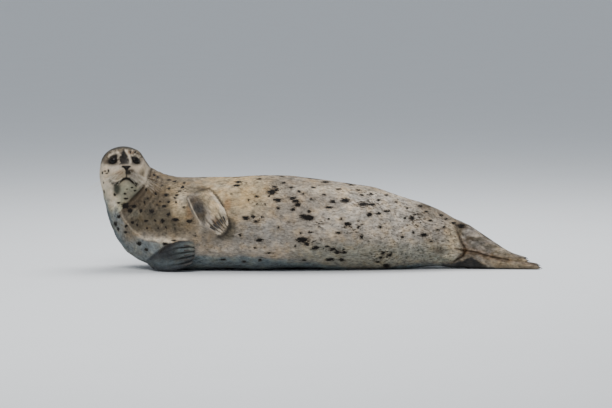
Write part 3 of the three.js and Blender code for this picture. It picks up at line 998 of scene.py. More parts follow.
@dataclass
class Sculptor:
    """Draws the skin in by the coat's depth and gives it its folds, features and fingers."""

    skin: Skin
    face: Face = Face()
    coat: float = 1.3
    head_coat: float = 0.7
    limb_coat: float = 0.8
    swelling: float = 0.4
    floor: float = 0.4

    def carve(self) -> None:
        """Shapes the whole skin."""
        skin, face = self.skin, self.face
        skin.refined(face.patch)
        skin.refined(self._fore_flippers)
        mesh = skin.mesh
        places, outward = places_of(mesh), normals_of(mesh)
        self.parts = skin.labelled(places)
        places = places - self._coat_depth()[:, None] * outward
        places = self._rooted(places)
        places = self._fingers(places, outward)
        places = self._folds(places, outward)
        places = face.shaped(places, outward)
        places = self._flesh(places, outward)
        near = Neighbours.of(mesh)
        places = near.relaxed(places, 1, 0.6)
        places = face.lids(places)
        places[:, 2] = np.maximum(places[:, 2], self.floor)
        put_places(mesh, places)

    def _fore_flippers(self, places: Array) -> Array:
        """The fore flippers, which are meshed more finely."""
        return belong(self.skin.labelled(places), FORE_PARTS)

    def _is(self, *parts: Part) -> Array:
        """Which places belong to some parts."""
        return belong(self.parts, parts)

    def _coat_depth(self) -> Array:
        """How far the skin is drawn in: the coat's depth, and the swelling that joined the solids.

        Returns:
            One depth a vertex.
        """
        depth = np.where(self._is(*HEAD_PARTS), self.head_coat, self.coat)
        depth = np.where(self._is(*LIMB_PARTS), self.limb_coat, depth)
        return Neighbours.of(self.skin.mesh).relaxed(depth + self.swelling, 6)

    def _rooted(self, places: Array) -> Array:
        """The fore flippers' roots drawn smoothly out of the body.

        Args:
            places: Millimetres.

        Returns:
            The places, moved.
        """
        near = Neighbours.of(self.skin.mesh)
        weight = np.zeros(len(places))
        for blade in FLIPPER_BLADES:
            if blade.part not in FORE_PARTS:
                continue
            limb = near.relaxed(self._is(blade.part).astype(float), 16)
            close = np.flatnonzero((limb > 0.02) & (limb < 0.98))
            along, _ = blade.across(places[close])
            edge = np.sqrt(4 * limb[close] * (1 - limb[close]))
            weight[close] = np.maximum(weight[close], edge * smooth(along, 0.24, 0.08))
        return near.relaxed(places, 30, weight)

    def _fingers(self, places: Array, outward: Array) -> Array:
        """Grooves between the fingers of each flipper, and a bed round its root.

        Args:
            places: Millimetres.
            outward: The skin's outward direction at each.

        Returns:
            The places, moved.
        """
        lift = np.zeros(len(places))
        for blade in FLIPPER_BLADES:
            mine = np.flatnonzero(self._is(blade.part))
            along, across = blade.across(places[mine])
            from_web = from_webs(across)
            reach = smooth(along, 0.28, 0.62)
            inner = smooth(np.abs(across), 0.97, 0.86)
            finger = bell(from_web, 0.065) * inner
            knuckle = sum(bell(along - at, 0.035) for at in (0.52, 0.74)) * (1 - bell(from_web, 0.12))
            lift[mine] = blade.groove * reach * (0.22 * knuckle - finger)
        return places + lift[:, None] * outward

    def _folds(self, places: Array, outward: Array) -> Array:
        """The creases and rolls on the side that faces the camera.

        Args:
            places: Millimetres.
            outward: The skin's outward direction at each.

        Returns:
            The places, moved.
        """
        facing = outward @ VIEW.axes[2]
        shown = smooth(facing, -0.05, 0.3)
        sheet = VIEW.seen(places)
        lift = sum(fold.lift(sheet) for fold in FOLDS)
        return places + (lift * shown)[:, None] * outward

    def _flesh(self, places: Array, outward: Array) -> Array:
        """Soft unevenness of blubber and muscle, and fine wrinkles at the neck.

        Args:
            places: Millimetres.
            outward: The skin's outward direction at each.

        Returns:
            The places, moved.
        """
        head = self._is(*HEAD_PARTS)
        limbs = self._is(*LIMB_PARTS)
        near = Neighbours.of(self.skin.mesh)
        body = near.relaxed(np.where(head | limbs, 0.0, 1.0), 10)
        stretched = places * np.array((0.6, 1.0, 1.0))
        lift = 2.0 * Waves(3, 170.0)(stretched) + 0.8 * Waves(4, 62.0)(stretched)
        neck = bell((places[:, 0] + 660.0), 85.0) * smooth(places[:, 2], 150, 260)
        ring = places @ unit(np.array((0.82, -0.1, 0.56)))
        lift += 0.9 * neck * np.sin(ring * 2 * math.pi / 19.0 + 1.6 * Waves(6, 120.0)(places))
        return places + (lift * body)[:, None] * outward


# ------------------------------------------------ markings


class Tone(Enum):
    """The coat's colours; some are also laid as painted shade, shadow and highlight."""

    SAND = (0.285, 0.240, 0.190)
    PALE = (0.47, 0.415, 0.345)
    CREAM = (0.60, 0.51, 0.39)
    BUFF = (0.37, 0.285, 0.170)
    RUST = (0.23, 0.125, 0.055)
    BACK = (0.27, 0.215, 0.150)
    STONE = (0.185, 0.160, 0.130)
    ASH = (0.22, 0.215, 0.20)
    EARTH = (0.078, 0.064, 0.043)
    DRAB = (0.145, 0.111, 0.072)
    UMBER = (0.070, 0.052, 0.034)
    MOSS = (0.29, 0.285, 0.20)
    FERN = (0.20, 0.205, 0.165)
    OLIVE = (0.050, 0.050, 0.038)
    BLUE = (0.170, 0.184, 0.180)
    SLATE = (0.042, 0.047, 0.052)
    SOOT = (0.018, 0.015, 0.013)
    INK = (0.005, 0.0042, 0.0038)
    MUZZLE = (0.37, 0.30, 0.20)
    SHADE = (0.19, 0.16, 0.115)
    CROWN = (0.058, 0.055, 0.047)
    HIDE = (0.220, 0.188, 0.160)
    TEAL = (0.130, 0.158, 0.164)


Blot = tuple[Tone, float, float, float, float, float]

# The larger spots on the side that faces the camera: right of the aim, above it, half the length and
# half the height.
SPOTS: dict[str, Rows] = {
    "face": (
        (-804, 132, 5, 3), (-790, 133, 4, 6), (-796, 123, 5, 3), (-814, 125, 3, 6), (-810, 86, 3, 5),
        (-808, 50, 5, 6), (-765, 38, 6, 6), (-725, 42, 7, 4), (-721, 22, 9, 4), (-749, 5, 7, 4),
        (-680, 74, 4, 5), (-684, 54, 6, 4), (-806, 196, 5, 8), (-702, 208, 4, 6), (-683, 207, 5, 4),
        (-696, 66, 5, 3), (-716, 60, 4, 3),
    ),
    "neck": (
        (-722, -6, 15, 13), (-704, -25, 11, 11), (-689, -9, 12, 7), (-660, -26, 7, 8), (-618, -28, 10, 10),
        (-568, -9, 9, 6), (-550, 8, 7, 5), (-520, 8, 5, 5), (-524, 24, 6, 5), (-516, 36, 7, 4),
        (-560, 36, 11, 6), (-602, 42, 6, 6), (-504, 52, 5, 4), (-494, 68, 7, 5), (-488, 84, 7, 4),
        (-548, 62, 8, 4), (-548, 96, 9, 3), (-528, 90, 8, 3), (-608, 116, 6, 6), (-592, 108, 6, 6),
        (-632, 22, 5, 5), (-584, 10, 4, 4), (-486, -12, 9, 4), (-640, 58, 4, 8), (-646, 8, 5, 6),
        (-576, 74, 5, 4), (-596, -4, 4, 4),
    ),
    "chest": (
        (-550, -40, 8, 7), (-524, -62, 15, 8), (-468, -68, 15, 7), (-574, -68, 10, 9), (-604, -66, 6, 5),
        (-640, -68, 10, 5), (-676, -84, 5, 5), (-694, -74, 8, 6), (-748, -50, 7, 7), (-720, -88, 7, 6),
        (-762, -80, 7, 12), (-752, -100, 6, 8), (-722, -112, 7, 5), (-668, -158, 9, 8), (-640, -182, 7, 6),
        (-528, -146, 12, 4), (-564, -160, 12, 6), (-444, -130, 5, 4), (-592, -96, 4, 4), (-560, -92, 4, 4),
        (-636, -96, 4, 4),
    ),
    "flank": (
        (-264, -124, 7, 6), (-240, -56, 15, 9), (-212, -50, 8, 7), (-200, -70, 13, 5), (-176, -52, 5, 5),
        (-198, 30, 9, 6), (-230, 16, 5, 5), (-196, 0, 5, 5), (-164, 0, 5, 5), (-272, 88, 15, 4),
        (-280, 74, 14, 4), (-138, 48, 18, 11), (-128, 70, 11, 5), (-119, 57, 8, 7), (-114, 16, 18, 8),
        (-112, -16, 8, 6), (-56, 22, 14, 7), (-42, 12, 14, 8), (-34, -2, 13, 9), (-52, -22, 11, 7),
        (-28, 50, 8, 6), (-12, 40, 6, 5), (-188, 100, 12, 3), (-90, 84, 12, 4), (-60, 66, 9, 4),
        (-300, 40, 6, 3), (-150, 30, 7, 4),
    ),
    "belly": (
        (12, -30, 8, 6), (8, -55, 25, 12), (-16, -48, 14, 8), (-72, -72, 6, 5), (-112, -92, 5, 5),
        (-24, -116, 6, 5), (16, -112, 12, 5), (-188, -144, 16, 8), (-204, -176, 6, 5), (-148, -196, 16, 4),
        (-16, -144, 24, 12), (2, -160, 11, 6), (-44, -168, 6, 5), (36, -176, 17, 9), (84, -170, 10, 6),
        (106, -180, 14, 8), (124, -192, 12, 8), (152, -194, 12, 6), (94, -222, 18, 6), (142, -224, 12, 7),
        (-8, -224, 9, 5), (-184, -224, 9, 5), (-248, -230, 9, 5), (-330, -222, 12, 4), (60, -140, 6, 4),
        (90, -60, 6, 4), (52, -90, 6, 4),
    ),
    "hind_belly": (
        (164, -80, 13, 9), (140, -60, 8, 6), (128, -116, 12, 5), (222, -132, 8, 11), (208, -92, 6, 6),
        (208, -68, 6, 5), (224, -82, 6, 5), (296, -92, 7, 6), (254, -42, 13, 9), (288, -38, 12, 5),
        (322, -28, 13, 5), (384, -132, 7, 6), (308, -196, 10, 6), (334, -204, 10, 7), (286, -232, 10, 5),
        (320, -247, 15, 8), (300, -214, 9, 5), (250, -150, 5, 4), (350, -90, 5, 4),
    ),
    "back": (
        (156, 14, 20, 10), (88, -14, 20, 5), (106, 10, 13, 8), (230, -2, 20, 7), (262, -2, 16, 5),
        (288, 16, 8, 5), (224, 36, 9, 4), (260, 40, 9, 4), (320, 36, 9, 4), (208, 56, 10, 4), (72, 38, 9, 4),
        (76, 88, 16, 4), (130, 60, 12, 4), (30, 66, 12, 4), (360, 8, 9, 4), (180, 76, 10, 3), (20, 20, 7, 5),
    ),
    "hips": (
        (424, -56, 11, 8), (396, -56, 6, 6), (456, -8, 8, 5), (498, -66, 9, 5), (472, -124, 13, 9),
        (526, -104, 9, 4), (428, -114, 6, 5), (620, -88, 16, 8), (560, -60, 8, 4), (590, -76, 9, 5),
        (404, -16, 7, 4), (540, -44, 8, 4), (480, -30, 7, 4), (444, -40, 6, 3), (404, -84, 6, 4),
        (552, -92, 7, 4), (500, -150, 8, 4),
    ),
}


@dataclass
class Markings:
    """The coat's colours with some painted shade, shadow and highlights, its spots and lie, kept on the
    skin's vertices.
    """

    sculptor: Sculptor
    lost: float = -3.0
    nose: float = -727.0
    lay: float = 9.0
    closeness: float = 0.37
    tries: int = 5200
    roll: Path = (
        (-744, -26), (-729, -57), (-711, -83), (-693, -106), (-662, -128), (-644, -138), (-609, -142),
        (-529, -150), (-476, -152),
    )
    clusters: Rows = (
        (-130, 66, 34, 22), (-196, 4, 26, 14), (-260, 84, 40, 10), (-60, 30, 30, 16), (-190, -60, 24, 10),
        (20, -148, 44, 16), (110, -184, 50, 14), (240, 0, 60, 16), (240, 44, 50, 10), (310, -208, 40, 20),
        (60, -74, 30, 16), (-570, -100, 50, 14), (-500, 60, 30, 24), (440, -60, 40, 24), (170, -100, 40, 20),
    )

    def __post_init__(self) -> None:
        """Reads the finished skin."""
        self.mesh = self.sculptor.skin.mesh
        self.places = places_of(self.mesh)
        self.outward = normals_of(self.mesh)
        self.parts = self.sculptor.skin.labelled(self.places)
        self.sheet = VIEW.seen(self.places)
        self.local = HEAD.into(self.places)
        self.face = self.sculptor.face
        self.facing = self.outward @ VIEW.axes[2]
        self.front = smooth(self.facing, -0.28, 0.04)
        self.near = Neighbours.of(self.mesh)
        self.tone = np.tile(np.array(Tone.SAND.value), (len(self.places), 1))
        self.hidden = self._scattered()
        self.centres = [(spot, self._centre(spot)) for group in SPOTS.values() for spot in group]
        self.crack = path_distance(self.sheet, HIND_FOLD.path)[0]

    def _on(self, *parts: Part, rounds: int = 3) -> Array:
        """A soft mask of some parts."""
        return self.near.relaxed(belong(self.parts, parts).astype(float), rounds)

    def paint(self, tone: Tone, mask: Array, amount: float = 1.0) -> None:
        """Mixes a colour in through a mask."""
        share = np.clip(mask * amount, 0, 1)[:, None]
        self.tone = self.tone * (1 - share) + np.array(tone.value) * share

    def _blot(self, right: float, up: float, half_right: float, half_up: float, soft: float = 0.45) -> Array:
        """A soft ellipse on the side that faces the camera."""
        ratio = np.hypot((self.sheet[:, 0] - right) / half_right, (self.sheet[:, 1] - up) / half_up)
        return smooth(ratio, 1 + soft, 1 - soft) * self.front

    def _line(self, path: Path, width: float) -> Array:
        """A soft line on the side that faces the camera."""
        distance, _ = path_distance(self.sheet, path)
        return bell(distance, width) * self.front

    def colour(self) -> None:
        """Lays all the coat's colours and the painted shade and highlights, the broad ones first."""
        self._body()
        self._underside()
        self._neck()
        self._rump()
        self._head()
        for blade in FLIPPER_BLADES:
            self._blade(blade)

    def _blots(self, blots: Sequence[Blot], within: Array | float = 1.0) -> None:
        """Lays soft ellipses: a colour, right, up, half length, half height and amount for each."""
        for tone, right, up, half_right, half_up, amount in blots:
            self.paint(tone, self._blot(right, up, half_right, half_up, 0.65) * within, amount)

    def _body(self) -> None:
        """The trunk: warmer round the flipper, creamier behind, browner on the back, with painted shadow
        beside and under the upper fore flipper.
        """
        x, y, z = self.places.T
        right, up = self.sheet.T
        uneven = Waves(11, 130.0)(self.places)
        self.paint(Tone.BACK, smooth(y + 24 * uneven, -20, 110), 0.85)
        self.paint(Tone.STONE, smooth(y + 20 * uneven, 70, 180) * smooth(z, 30, 120), 0.6)
        # The EARTH blots at right -302 and -322 and the STONE blots at -360 and -404 are painted shadow
        # beside and under the upper fore flipper.
        self._blots((
            (Tone.PALE, 290, -20, 200, 95, 0.85), (Tone.PALE, 516, -100, 62, 62, 0.4),
            (Tone.PALE, 110, -84, 90, 48, 0.5), (Tone.PALE, -290, -172, 120, 24, 0.3),
            (Tone.BUFF, -290, 50, 150, 100, 0.95), (Tone.BUFF, -260, 40, 90, 70, 0.5),
            (Tone.BUFF, -484, -116, 60, 34, 0.4), (Tone.ASH, -180, -116, 120, 50, 0.5),
            (Tone.STONE, -360, -130, 110, 40, 0.8), (Tone.STONE, 480, -120, 70, 44, 0.5),
            (Tone.DRAB, 500, -36, 70, 26, 0.6), (Tone.UMBER, 476, -8, 34, 9, 0.75),
            (Tone.STONE, 200, -150, 120, 40, 0.35), (Tone.EARTH, -302, -92, 22, 38, 0.95),
            (Tone.EARTH, -322, -128, 28, 16, 0.9), (Tone.RUST, -316, -4, 15, 26, 0.7),
            (Tone.BACK, 20, 84, 60, 12, 0.5), (Tone.DRAB, 250, 62, 110, 10, 0.5),
            (Tone.STONE, -404, -146, 60, 36, 0.6), (Tone.CREAM, -330, 70, 60, 14, 0.3),
            (Tone.DRAB, -130, 98, 60, 8, 0.4), (Tone.PALE, 390, -120, 100, 60, 0.6),
            (Tone.DRAB, -380, -128, 40, 22, 0.4), (Tone.CREAM, 110, 56, 170, 16, 0.45),
        ))
        low = smooth(up, -120, -196) * self.front * smooth(right, -120, 40)
        self.paint(Tone.FERN, low, 0.65)

    def _underside(self) -> None:
        """The dark band along the floor: partly the coat's own darker, wet underside and partly painted
        shade, darkest at the bottom, with painted shade above it.
        """
        right, up = self.sheet.T
        rim = np.interp(
            right, (-700, -424, -172, -24, 96, 188, 268, 324, 376, 416, 576, 640),
            (-150, -206, -214, -228, -242, -259, -268, -256, -245, -239, -235, -238),
        )
        drawn_out = self.places * np.array((0.4, 1.0, 1.0))
        wander = 1.6 * Waves(13, 120.0)(self.places) + 1.6 * Waves(14, 26.0)(drawn_out)
        low = smooth(up + wander, rim + 11, rim - 10)
        behind = smooth(self.places[:, 2] + 5 * wander, 46, 18)
        under = np.where(self.facing > -0.1, low * (self.places[:, 2] < 120), behind)
        self.under = under * (1 - self._on(Part.HIND_LEFT, Part.TAIL))
        # Painted shade: a grey band just above the underside's rim, then the dark band, darkening further
        # towards the floor.
        self.paint(Tone.STONE, smooth(up + wander, rim + 24, rim) * self.front, 0.45)
        self.paint(Tone.TEAL, self.under, 0.97)
        self.paint(Tone.SLATE, self.under * smooth(up + 3 * wander, rim - 10, rim - 34), 0.4)

    def _neck(self) -> None:
        """Throat, crease, chest and its pale roll: painted shade in the creases, under the roll and along the
        chest's edges, and a painted highlight along the roll.
        """
        right, up = self.sheet.T
        crease, along = path_distance(self.sheet, CHEEK_FOLD.path)
        roll, _ = path_distance(self.sheet, self.roll)
        body = 1 - self._on(*FORE_PARTS)
        behind = smooth(crease, -5, 3)
        self._blots((
            (Tone.DRAB, -560, 66, 110, 90, 0.95), (Tone.DRAB, -520, -70, 100, 70, 0.85),
            (Tone.EARTH, -646, -10, 84, 76, 0.95), (Tone.UMBER, -632, -2, 50, 40, 0.35),
            (Tone.EARTH, -600, -64, 130, 58, 0.92), (Tone.EARTH, -684, -84, 36, 30, 0.9),
            (Tone.FERN, -690, -34, 26, 20, 0.3),
        ), behind * body)
        self._blots((
            (Tone.BUFF, -500, -6, 38, 52, 0.95), (Tone.CREAM, -498, 24, 26, 34, 0.5),
            (Tone.RUST, -464, -20, 14, 30, 0.75), (Tone.BUFF, -520, 60, 50, 26, 0.4),
        ), body)
        # Painted shade behind the deep crease.
        shadow = bell(crease - 8, 34) * behind * self.front * body
        self.paint(Tone.UMBER, shadow * smooth(along, 0.0, 0.4), 0.95)
        # Painted shade in and beside the throat's creases.
        for fold in THROAT_FOLDS:
            away, _ = path_distance(self.sheet, fold.path)
            self.paint(Tone.DRAB, bell(np.abs(away) - 8, 4) * self.front, 0.3)
            self.paint(Tone.UMBER, bell(away, 3.6) * self.front, 0.6)
        throat = (1 - behind) * smooth(right, -640, -690) * smooth(up, 110, 80)
        self.paint(Tone.MOSS, throat * self.front, 0.8)
        self.paint(Tone.CREAM, self._blot(-774, 34, 24, 56, 0.7) * (1 - behind), 0.75)
        self.paint(Tone.SHADE, self._blot(-706, 26, 26, 30, 0.7) * (1 - behind), 0.5)
        # Painted shade under the chest's roll, where the chest faces down.
        below = smooth(roll, -3, -14) * self.front * body * smooth(right, -470, -540) * smooth(up, 10, -50)
        self.paint(Tone.BLUE, below, 0.95)
        # Painted shade along the chest's left and lower edges, where they turn away from the light.
        rim = ((-806, 8), (-798, -30), (-790, -70), (-768, -120), (-730, -170))
        self.paint(Tone.TEAL, self._line(rim, 17), 0.85)
        rim = ((-800, -30), (-786, -90), (-740, -190), (-680, -236), (-560, -256))
        self.paint(Tone.SLATE, self._line(rim, 13), 0.7)
        self.paint(Tone.DRAB, self._blot(-704, -112, 32, 40, 0.7) * smooth(roll, -1, -6), 0.8)
        # A painted highlight along the top of the roll.
        width = np.interp(right, (-740, -650, -600, -560), (3.2, 4.0, 8.0, 11.0))
        bright = np.interp(right, (-740, -650, -610, -480, -470), (0.3, 0.32, 0.95, 0.8, 0.0))
        self.paint(Tone.CREAM, bell(roll / width, 1.0) * self.front * body * bright, 1.0)
        # Painted shade inside the deep crease.
        self.paint(Tone.INK, bell(crease, 3.8) * self.front * smooth(along, 0.0, 0.1), 0.95)
        self.paint(Tone.PALE, bell(crease + 16, 8) * self.front * smooth(along, 0.62, 0.45), 0.5)

    def _rump(self) -> None:
        """The rump, the fold behind it, the hind flippers and the tail, with painted shade in the folds,
        between the hind flippers and under the rump.
        """
        right, up = self.sheet.T
        self._blots((
            (Tone.CREAM, 604, -150, 26, 56, 0.55), (Tone.BUFF, 590, -120, 34, 70, 0.5),
            (Tone.UMBER, 532, -188, 26, 16, 0.7), (Tone.FERN, 560, -216, 70, 14, 0.7),
            (Tone.CREAM, 580, -206, 44, 10, 0.35),
        ), smooth(right, 646, 630))
        hind = self._on(*HIND_PARTS)
        self.paint(Tone.HIDE, hind, 0.95)
        slant = self.places @ np.array(((0.62, 0, 0), (0, 1, 0), (0.35, 0, 1.1)))
        self.paint(Tone.EARTH, hind * smooth(Waves(21, 26.0)(slant), 0.0, 0.7), 0.7)
        self.paint(Tone.PALE, hind * smooth(Waves(22, 26.0)(slant), 0.1, 0.8), 0.55)
        self.paint(Tone.DRAB, self._on(Part.HIND_RIGHT) * self.front, 0.6)
        self.paint(Tone.RUST, hind * smooth(right, 850, 890), 0.25)
        self._blots((
            (Tone.UMBER, 624, -88, 24, 13, 0.9), (Tone.EARTH, 606, -106, 18, 36, 0.85),
            (Tone.UMBER, 650, -136, 13, 10, 0.8), (Tone.EARTH, 706, -140, 24, 9, 0.6),
            (Tone.EARTH, 738, -170, 26, 11, 0.7), (Tone.EARTH, 790, -202, 28, 6, 0.5),
            (Tone.PALE, 672, -122, 24, 9, 0.6), (Tone.CREAM, 796, -184, 34, 9, 0.8),
            (Tone.CREAM, 866, -230, 34, 8, 0.6), (Tone.STONE, 690, -160, 26, 9, 0.6),
        ), hind)
        self.paint(Tone.SLATE, self._on(Part.HIND_RIGHT) * smooth(self.places[:, 2], 22, 5), 0.8)
        # The base mask is painted shade under the rump and between the hind flippers, below the roof line.
        inside = np.maximum(smooth(self.crack, -2, 6), smooth(up, -224, -232))
        roof = np.interp(right, (540, 589, 625, 656, 664, 742), (-240, -236, -226, -213, -213, -256))
        roof = roof + 1.5 * Waves(23, 22.0)(self.places)
        base = smooth(up - roof, 3, -4) * smooth(right, 530, 550) * smooth(right, 752, 726)
        base = base * (self.facing > -0.5) * inside
        # Each fold is painted near black inside as painted shade, with a rust-brown rim.
        for fold, width in ((HIND_FOLD, 4.6), (RUMP_FOLD, 3.2)):
            glow = self._line(fold.path, 1.8 * width) * smooth(up, -100, -150)
            self.paint(Tone.RUST, glow * smooth(up, -218, -205), 0.6)
            self.paint(Tone.INK, self._line(fold.path, width) * smooth(up, -60, -150), 1.0)
            self.paint(Tone.UMBER, self._line(fold.path, 3.0), 0.7)
        # Painted shade in the gap between the hind flippers, edged rust-brown.
        between = ((640, -186), (684, -192), (736, -210), (822, -224), (880, -230))
        self.paint(Tone.RUST, self._line(between, 9), 0.55)
        self.paint(Tone.INK, self._line(between, 4.0), 0.9)
        # Painted shade under the rump, darker towards the tail.
        self.paint(Tone.SLATE, base, 0.97)
        self.paint(Tone.SOOT, base * smooth(right, 566, 610), 0.75)
        self.paint(Tone.PALE, self._line(((684, -210), (704, -226), (730, -250)), 4.5) * hind, 0.45)

    def _blade(self, blade: Flipper) -> None:
        """One flipper: its webs, edges and finger tips, with painted shadow that the upper one casts on the
        body and a painted sheen on the lower one.

        Args:
            blade: The flipper.
        """
        mine = belong(self.parts, [blade.part])
        along, across = np.zeros(len(mine)), np.zeros(len(mine))
        along[mine], across[mine] = blade.across(self.places[mine])
        from_web = from_webs(across)
        between = bell(from_web, 0.07) * smooth(np.abs(across), 0.98, 0.9) * mine
        soft = self._on(blade.part, rounds=2)
        if blade.part is Part.FORE_RIGHT:
            # The lower flipper's dark slate is partly its own wet colour and partly painted shade; the TEAL
            # blot at right -484 and the MOSS blot beside it are a painted sheen.
            self.paint(Tone.SLATE, soft, 1.0)
            self.paint(Tone.TEAL, self._blot(-484, -186, 42, 26, 0.8) * mine, 0.95)
            self.paint(Tone.MOSS, self._blot(-462, -172, 24, 18, 0.8) * mine, 0.25)
            self.paint(Tone.SOOT, self._blot(-548, -186, 50, 26, 0.7) * mine, 0.5)
            rim = ((-586, -196), (-560, -172), (-522, -152), (-470, -143))
            self.paint(Tone.SOOT, self._line(rim, 6.0) * mine, 0.7)
            self.paint(Tone.STONE, mine * smooth(along, 0.86, 0.97) * (1 - bell(from_web, 0.12)), 0.6)
            self.paint(Tone.TEAL, self._blot(-560, -236, 70, 14, 0.8) * mine, 0.4)
            self.paint(Tone.SOOT, self._blot(-436, -180, 12, 30, 0.6) * mine * bell(from_web, 0.2), 0.8)
            self.paint(Tone.INK, between * smooth(along, 0.5, 0.75), 1.0)
        elif blade.part is Part.FORE_LEFT:
            self.paint(Tone.HIDE, soft * smooth(along, 0.0, 0.25), 1.0)
            self.paint(Tone.PALE, mine * smooth(along, 0.35, 0.7), 0.45)
            self.paint(Tone.BUFF, mine * smooth(across, 0.15, -0.5) * smooth(along, 0.0, 0.2), 0.6)
            self.paint(Tone.CREAM, mine * smooth(across, 0.05, -0.6) * smooth(along, 0.1, 0.3), 0.4)
            self.paint(Tone.STONE, mine * smooth(across, 0.3, 0.8) * smooth(along, 0.75, 0.5), 0.75)
            blotchy = 1 + 0.2 * Waves(31, 34.0)(self.places)
            self._blots((
                (Tone.STONE, -436, 24, 36, 46, 0.6), (Tone.UMBER, -438, 2, 33, 26, 1.0),
                (Tone.UMBER, -418, -34, 25, 26, 1.0), (Tone.EARTH, -404, -60, 16, 22, 0.6),
                (Tone.UMBER, -420, 58, 36, 8, 0.9), (Tone.RUST, -360, -70, 13, 13, 0.5),
                (Tone.SLATE, -430, -12, 30, 38, 0.45), (Tone.STONE, -392, -6, 16, 18, 0.4),
                (Tone.PALE, -388, -62, 13, 26, 0.55),
            ), soft * blotchy)
            edge = mine * smooth(across, -0.82, -0.94) * smooth(along, 0.05, 0.15)
            self.paint(Tone.CREAM, edge * self.front, 0.9)
            # Painted shadow that the flipper casts on the body along its edges and under its tip.
            for tone, rim, width, amount in (
                (Tone.UMBER, ((-388, 62), (-364, 38), (-344, 8), (-328, -28), (-314, -62)), 5.5, 0.9),
                (Tone.UMBER, ((-474, 30), (-456, -8), (-436, -44), (-402, -86)), 5.5, 0.9),
                (Tone.SOOT, ((-362, 40), (-348, 22), (-333, -4)), 4.0, 0.85),
                (Tone.SOOT, ((-333, -4), (-318, -40), (-306, -66)), 2.6, 0.85),
                (Tone.SOOT, ((-308, -64), (-305, -88), (-318, -112), (-332, -128), (-352, -132)), 6.5, 0.85),
                (Tone.SOOT, ((-444, -22), (-430, -48), (-414, -72), (-396, -98)), 2.6, 0.85),
            ):
                self.paint(tone, self._line(rim, width) * (1 - mine), amount)
            self._blots((
                (Tone.UMBER, -420, 62, 36, 6, 0.8), (Tone.EARTH, -398, 50, 28, 5, 0.7),
                (Tone.EARTH, -446, 50, 18, 6, 0.5), (Tone.SOOT, -405, 57, 20, 5, 0.6),
                (Tone.SOOT, -412, 70, 16, 3, 0.5),
            ))
            self.paint(Tone.CREAM, self._line(((-472, 22), (-448, -32), (-420, -82)), 2.4), 0.65)
            self.paint(Tone.CREAM, mine * smooth(across, 0.1, 0.5) * smooth(along, 0.84, 0.93), 0.85)
            palm = mine * bell(across + 0.45, 0.4) * smooth(along, 0.05, 0.2)
            self.paint(Tone.BUFF, palm * smooth(along, 0.85, 0.6), 0.75)
            self.paint(Tone.INK, between * smooth(along, 0.6, 0.76) * smooth(across, 0.85, 0.6), 1.0)
            self.paint(Tone.UMBER, mine * bell(from_web, 0.12) * bell(along - 0.84, 0.1), 0.6)
        else:
            self.paint(Tone.UMBER, between * smooth(along, 0.4, 0.7), 0.7)
            self.paint(Tone.BUFF, mine * smooth(np.abs(across), 0.8, 0.97) * smooth(along, 0.3, 0.6), 0.35)
            self.paint(Tone.STONE, mine * smooth(along, 0.93, 1.0), 0.6)

    def _head(self) -> None:
        """The face: cheeks, brows, bridge, eyes, nose and mouth, with painted highlights on the left whisker
        pad and painted shade in the cheek's crease.
        """
        forward, left, up = self.local.T
        head = self._on(*HEAD_PARTS, rounds=4)
        right_on, up_on = self.sheet.T
        self.paint(Tone.CROWN, head * smooth(up, 26, 48) * (1 - self.front), 0.8)
        self._blots((
            (Tone.CREAM, -806, 110, 24, 60, 0.85), (Tone.MUZZLE, -752, 116, 38, 36, 0.9),
            # The PALE blot at right -764 is a painted highlight on the left whisker pad.
            (Tone.PALE, -764, 138, 20, 13, 0.7), (Tone.RUST, -745, 126, 13, 12, 0.5),
            (Tone.SHADE, -700, 110, 24, 28, 0.5), (Tone.BUFF, -652, 122, 18, 34, 0.5),
            (Tone.CREAM, -676, 146, 24, 16, 0.4), (Tone.CREAM, -640, 104, 7, 40, 0.5),
            (Tone.CREAM, -786, 132, 24, 20, 0.4), (Tone.SHADE, -657, 130, 7, 14, 0.6),
            (Tone.PALE, -690, 104, 18, 15, 0.3), (Tone.CREAM, -650, 190, 6, 14, 0.5),
        ), head)
        self._crown(head)
        uneven = Waves(35, 10.0)(self.places)
        half = np.interp(up_on, (150, 160, 176, 196, 210, 224), (12, 17, 19, 13, 7, 3)) + 2.4 * uneven
        bridge = smooth(np.abs(right_on - self.nose), half + 6, half - 5) * self.front
        bridge = bridge * smooth(up_on, 152, 164) * smooth(up_on, 228, 206)
        self.paint(Tone.SOOT, bridge, 0.97)
        self.paint(Tone.INK, bridge * smooth(up_on + 8 * uneven, 172, 192), 0.8)
        self.paint(Tone.INK, bridge * smooth(right_on, -718, -736), 0.6)
        self._blots((
            (Tone.OLIVE, -756, 60, 15, 23, 1.0), (Tone.OLIVE, -756, 60, 10, 18, 0.7),
            (Tone.UMBER, -800, 168, 12, 11, 0.85), (Tone.UMBER, -782, 204, 12, 7, 0.5),
            # The PALE blot at right -758 is a painted highlight along the top of the left whisker pad.
            (Tone.RUST, -702, 206, 15, 7, 0.5), (Tone.PALE, -758, 146, 26, 9, 0.7),
            (Tone.UMBER, -704, 129, 16, 10, 0.85), (Tone.UMBER, -696, 134, 9, 5, 0.8),
            (Tone.INK, -773, 174, 21, 18, 1.0), (Tone.INK, -791, 166, 9, 8, 0.5),
            (Tone.INK, -680, 173, 21, 18, 1.0),
        ), head)
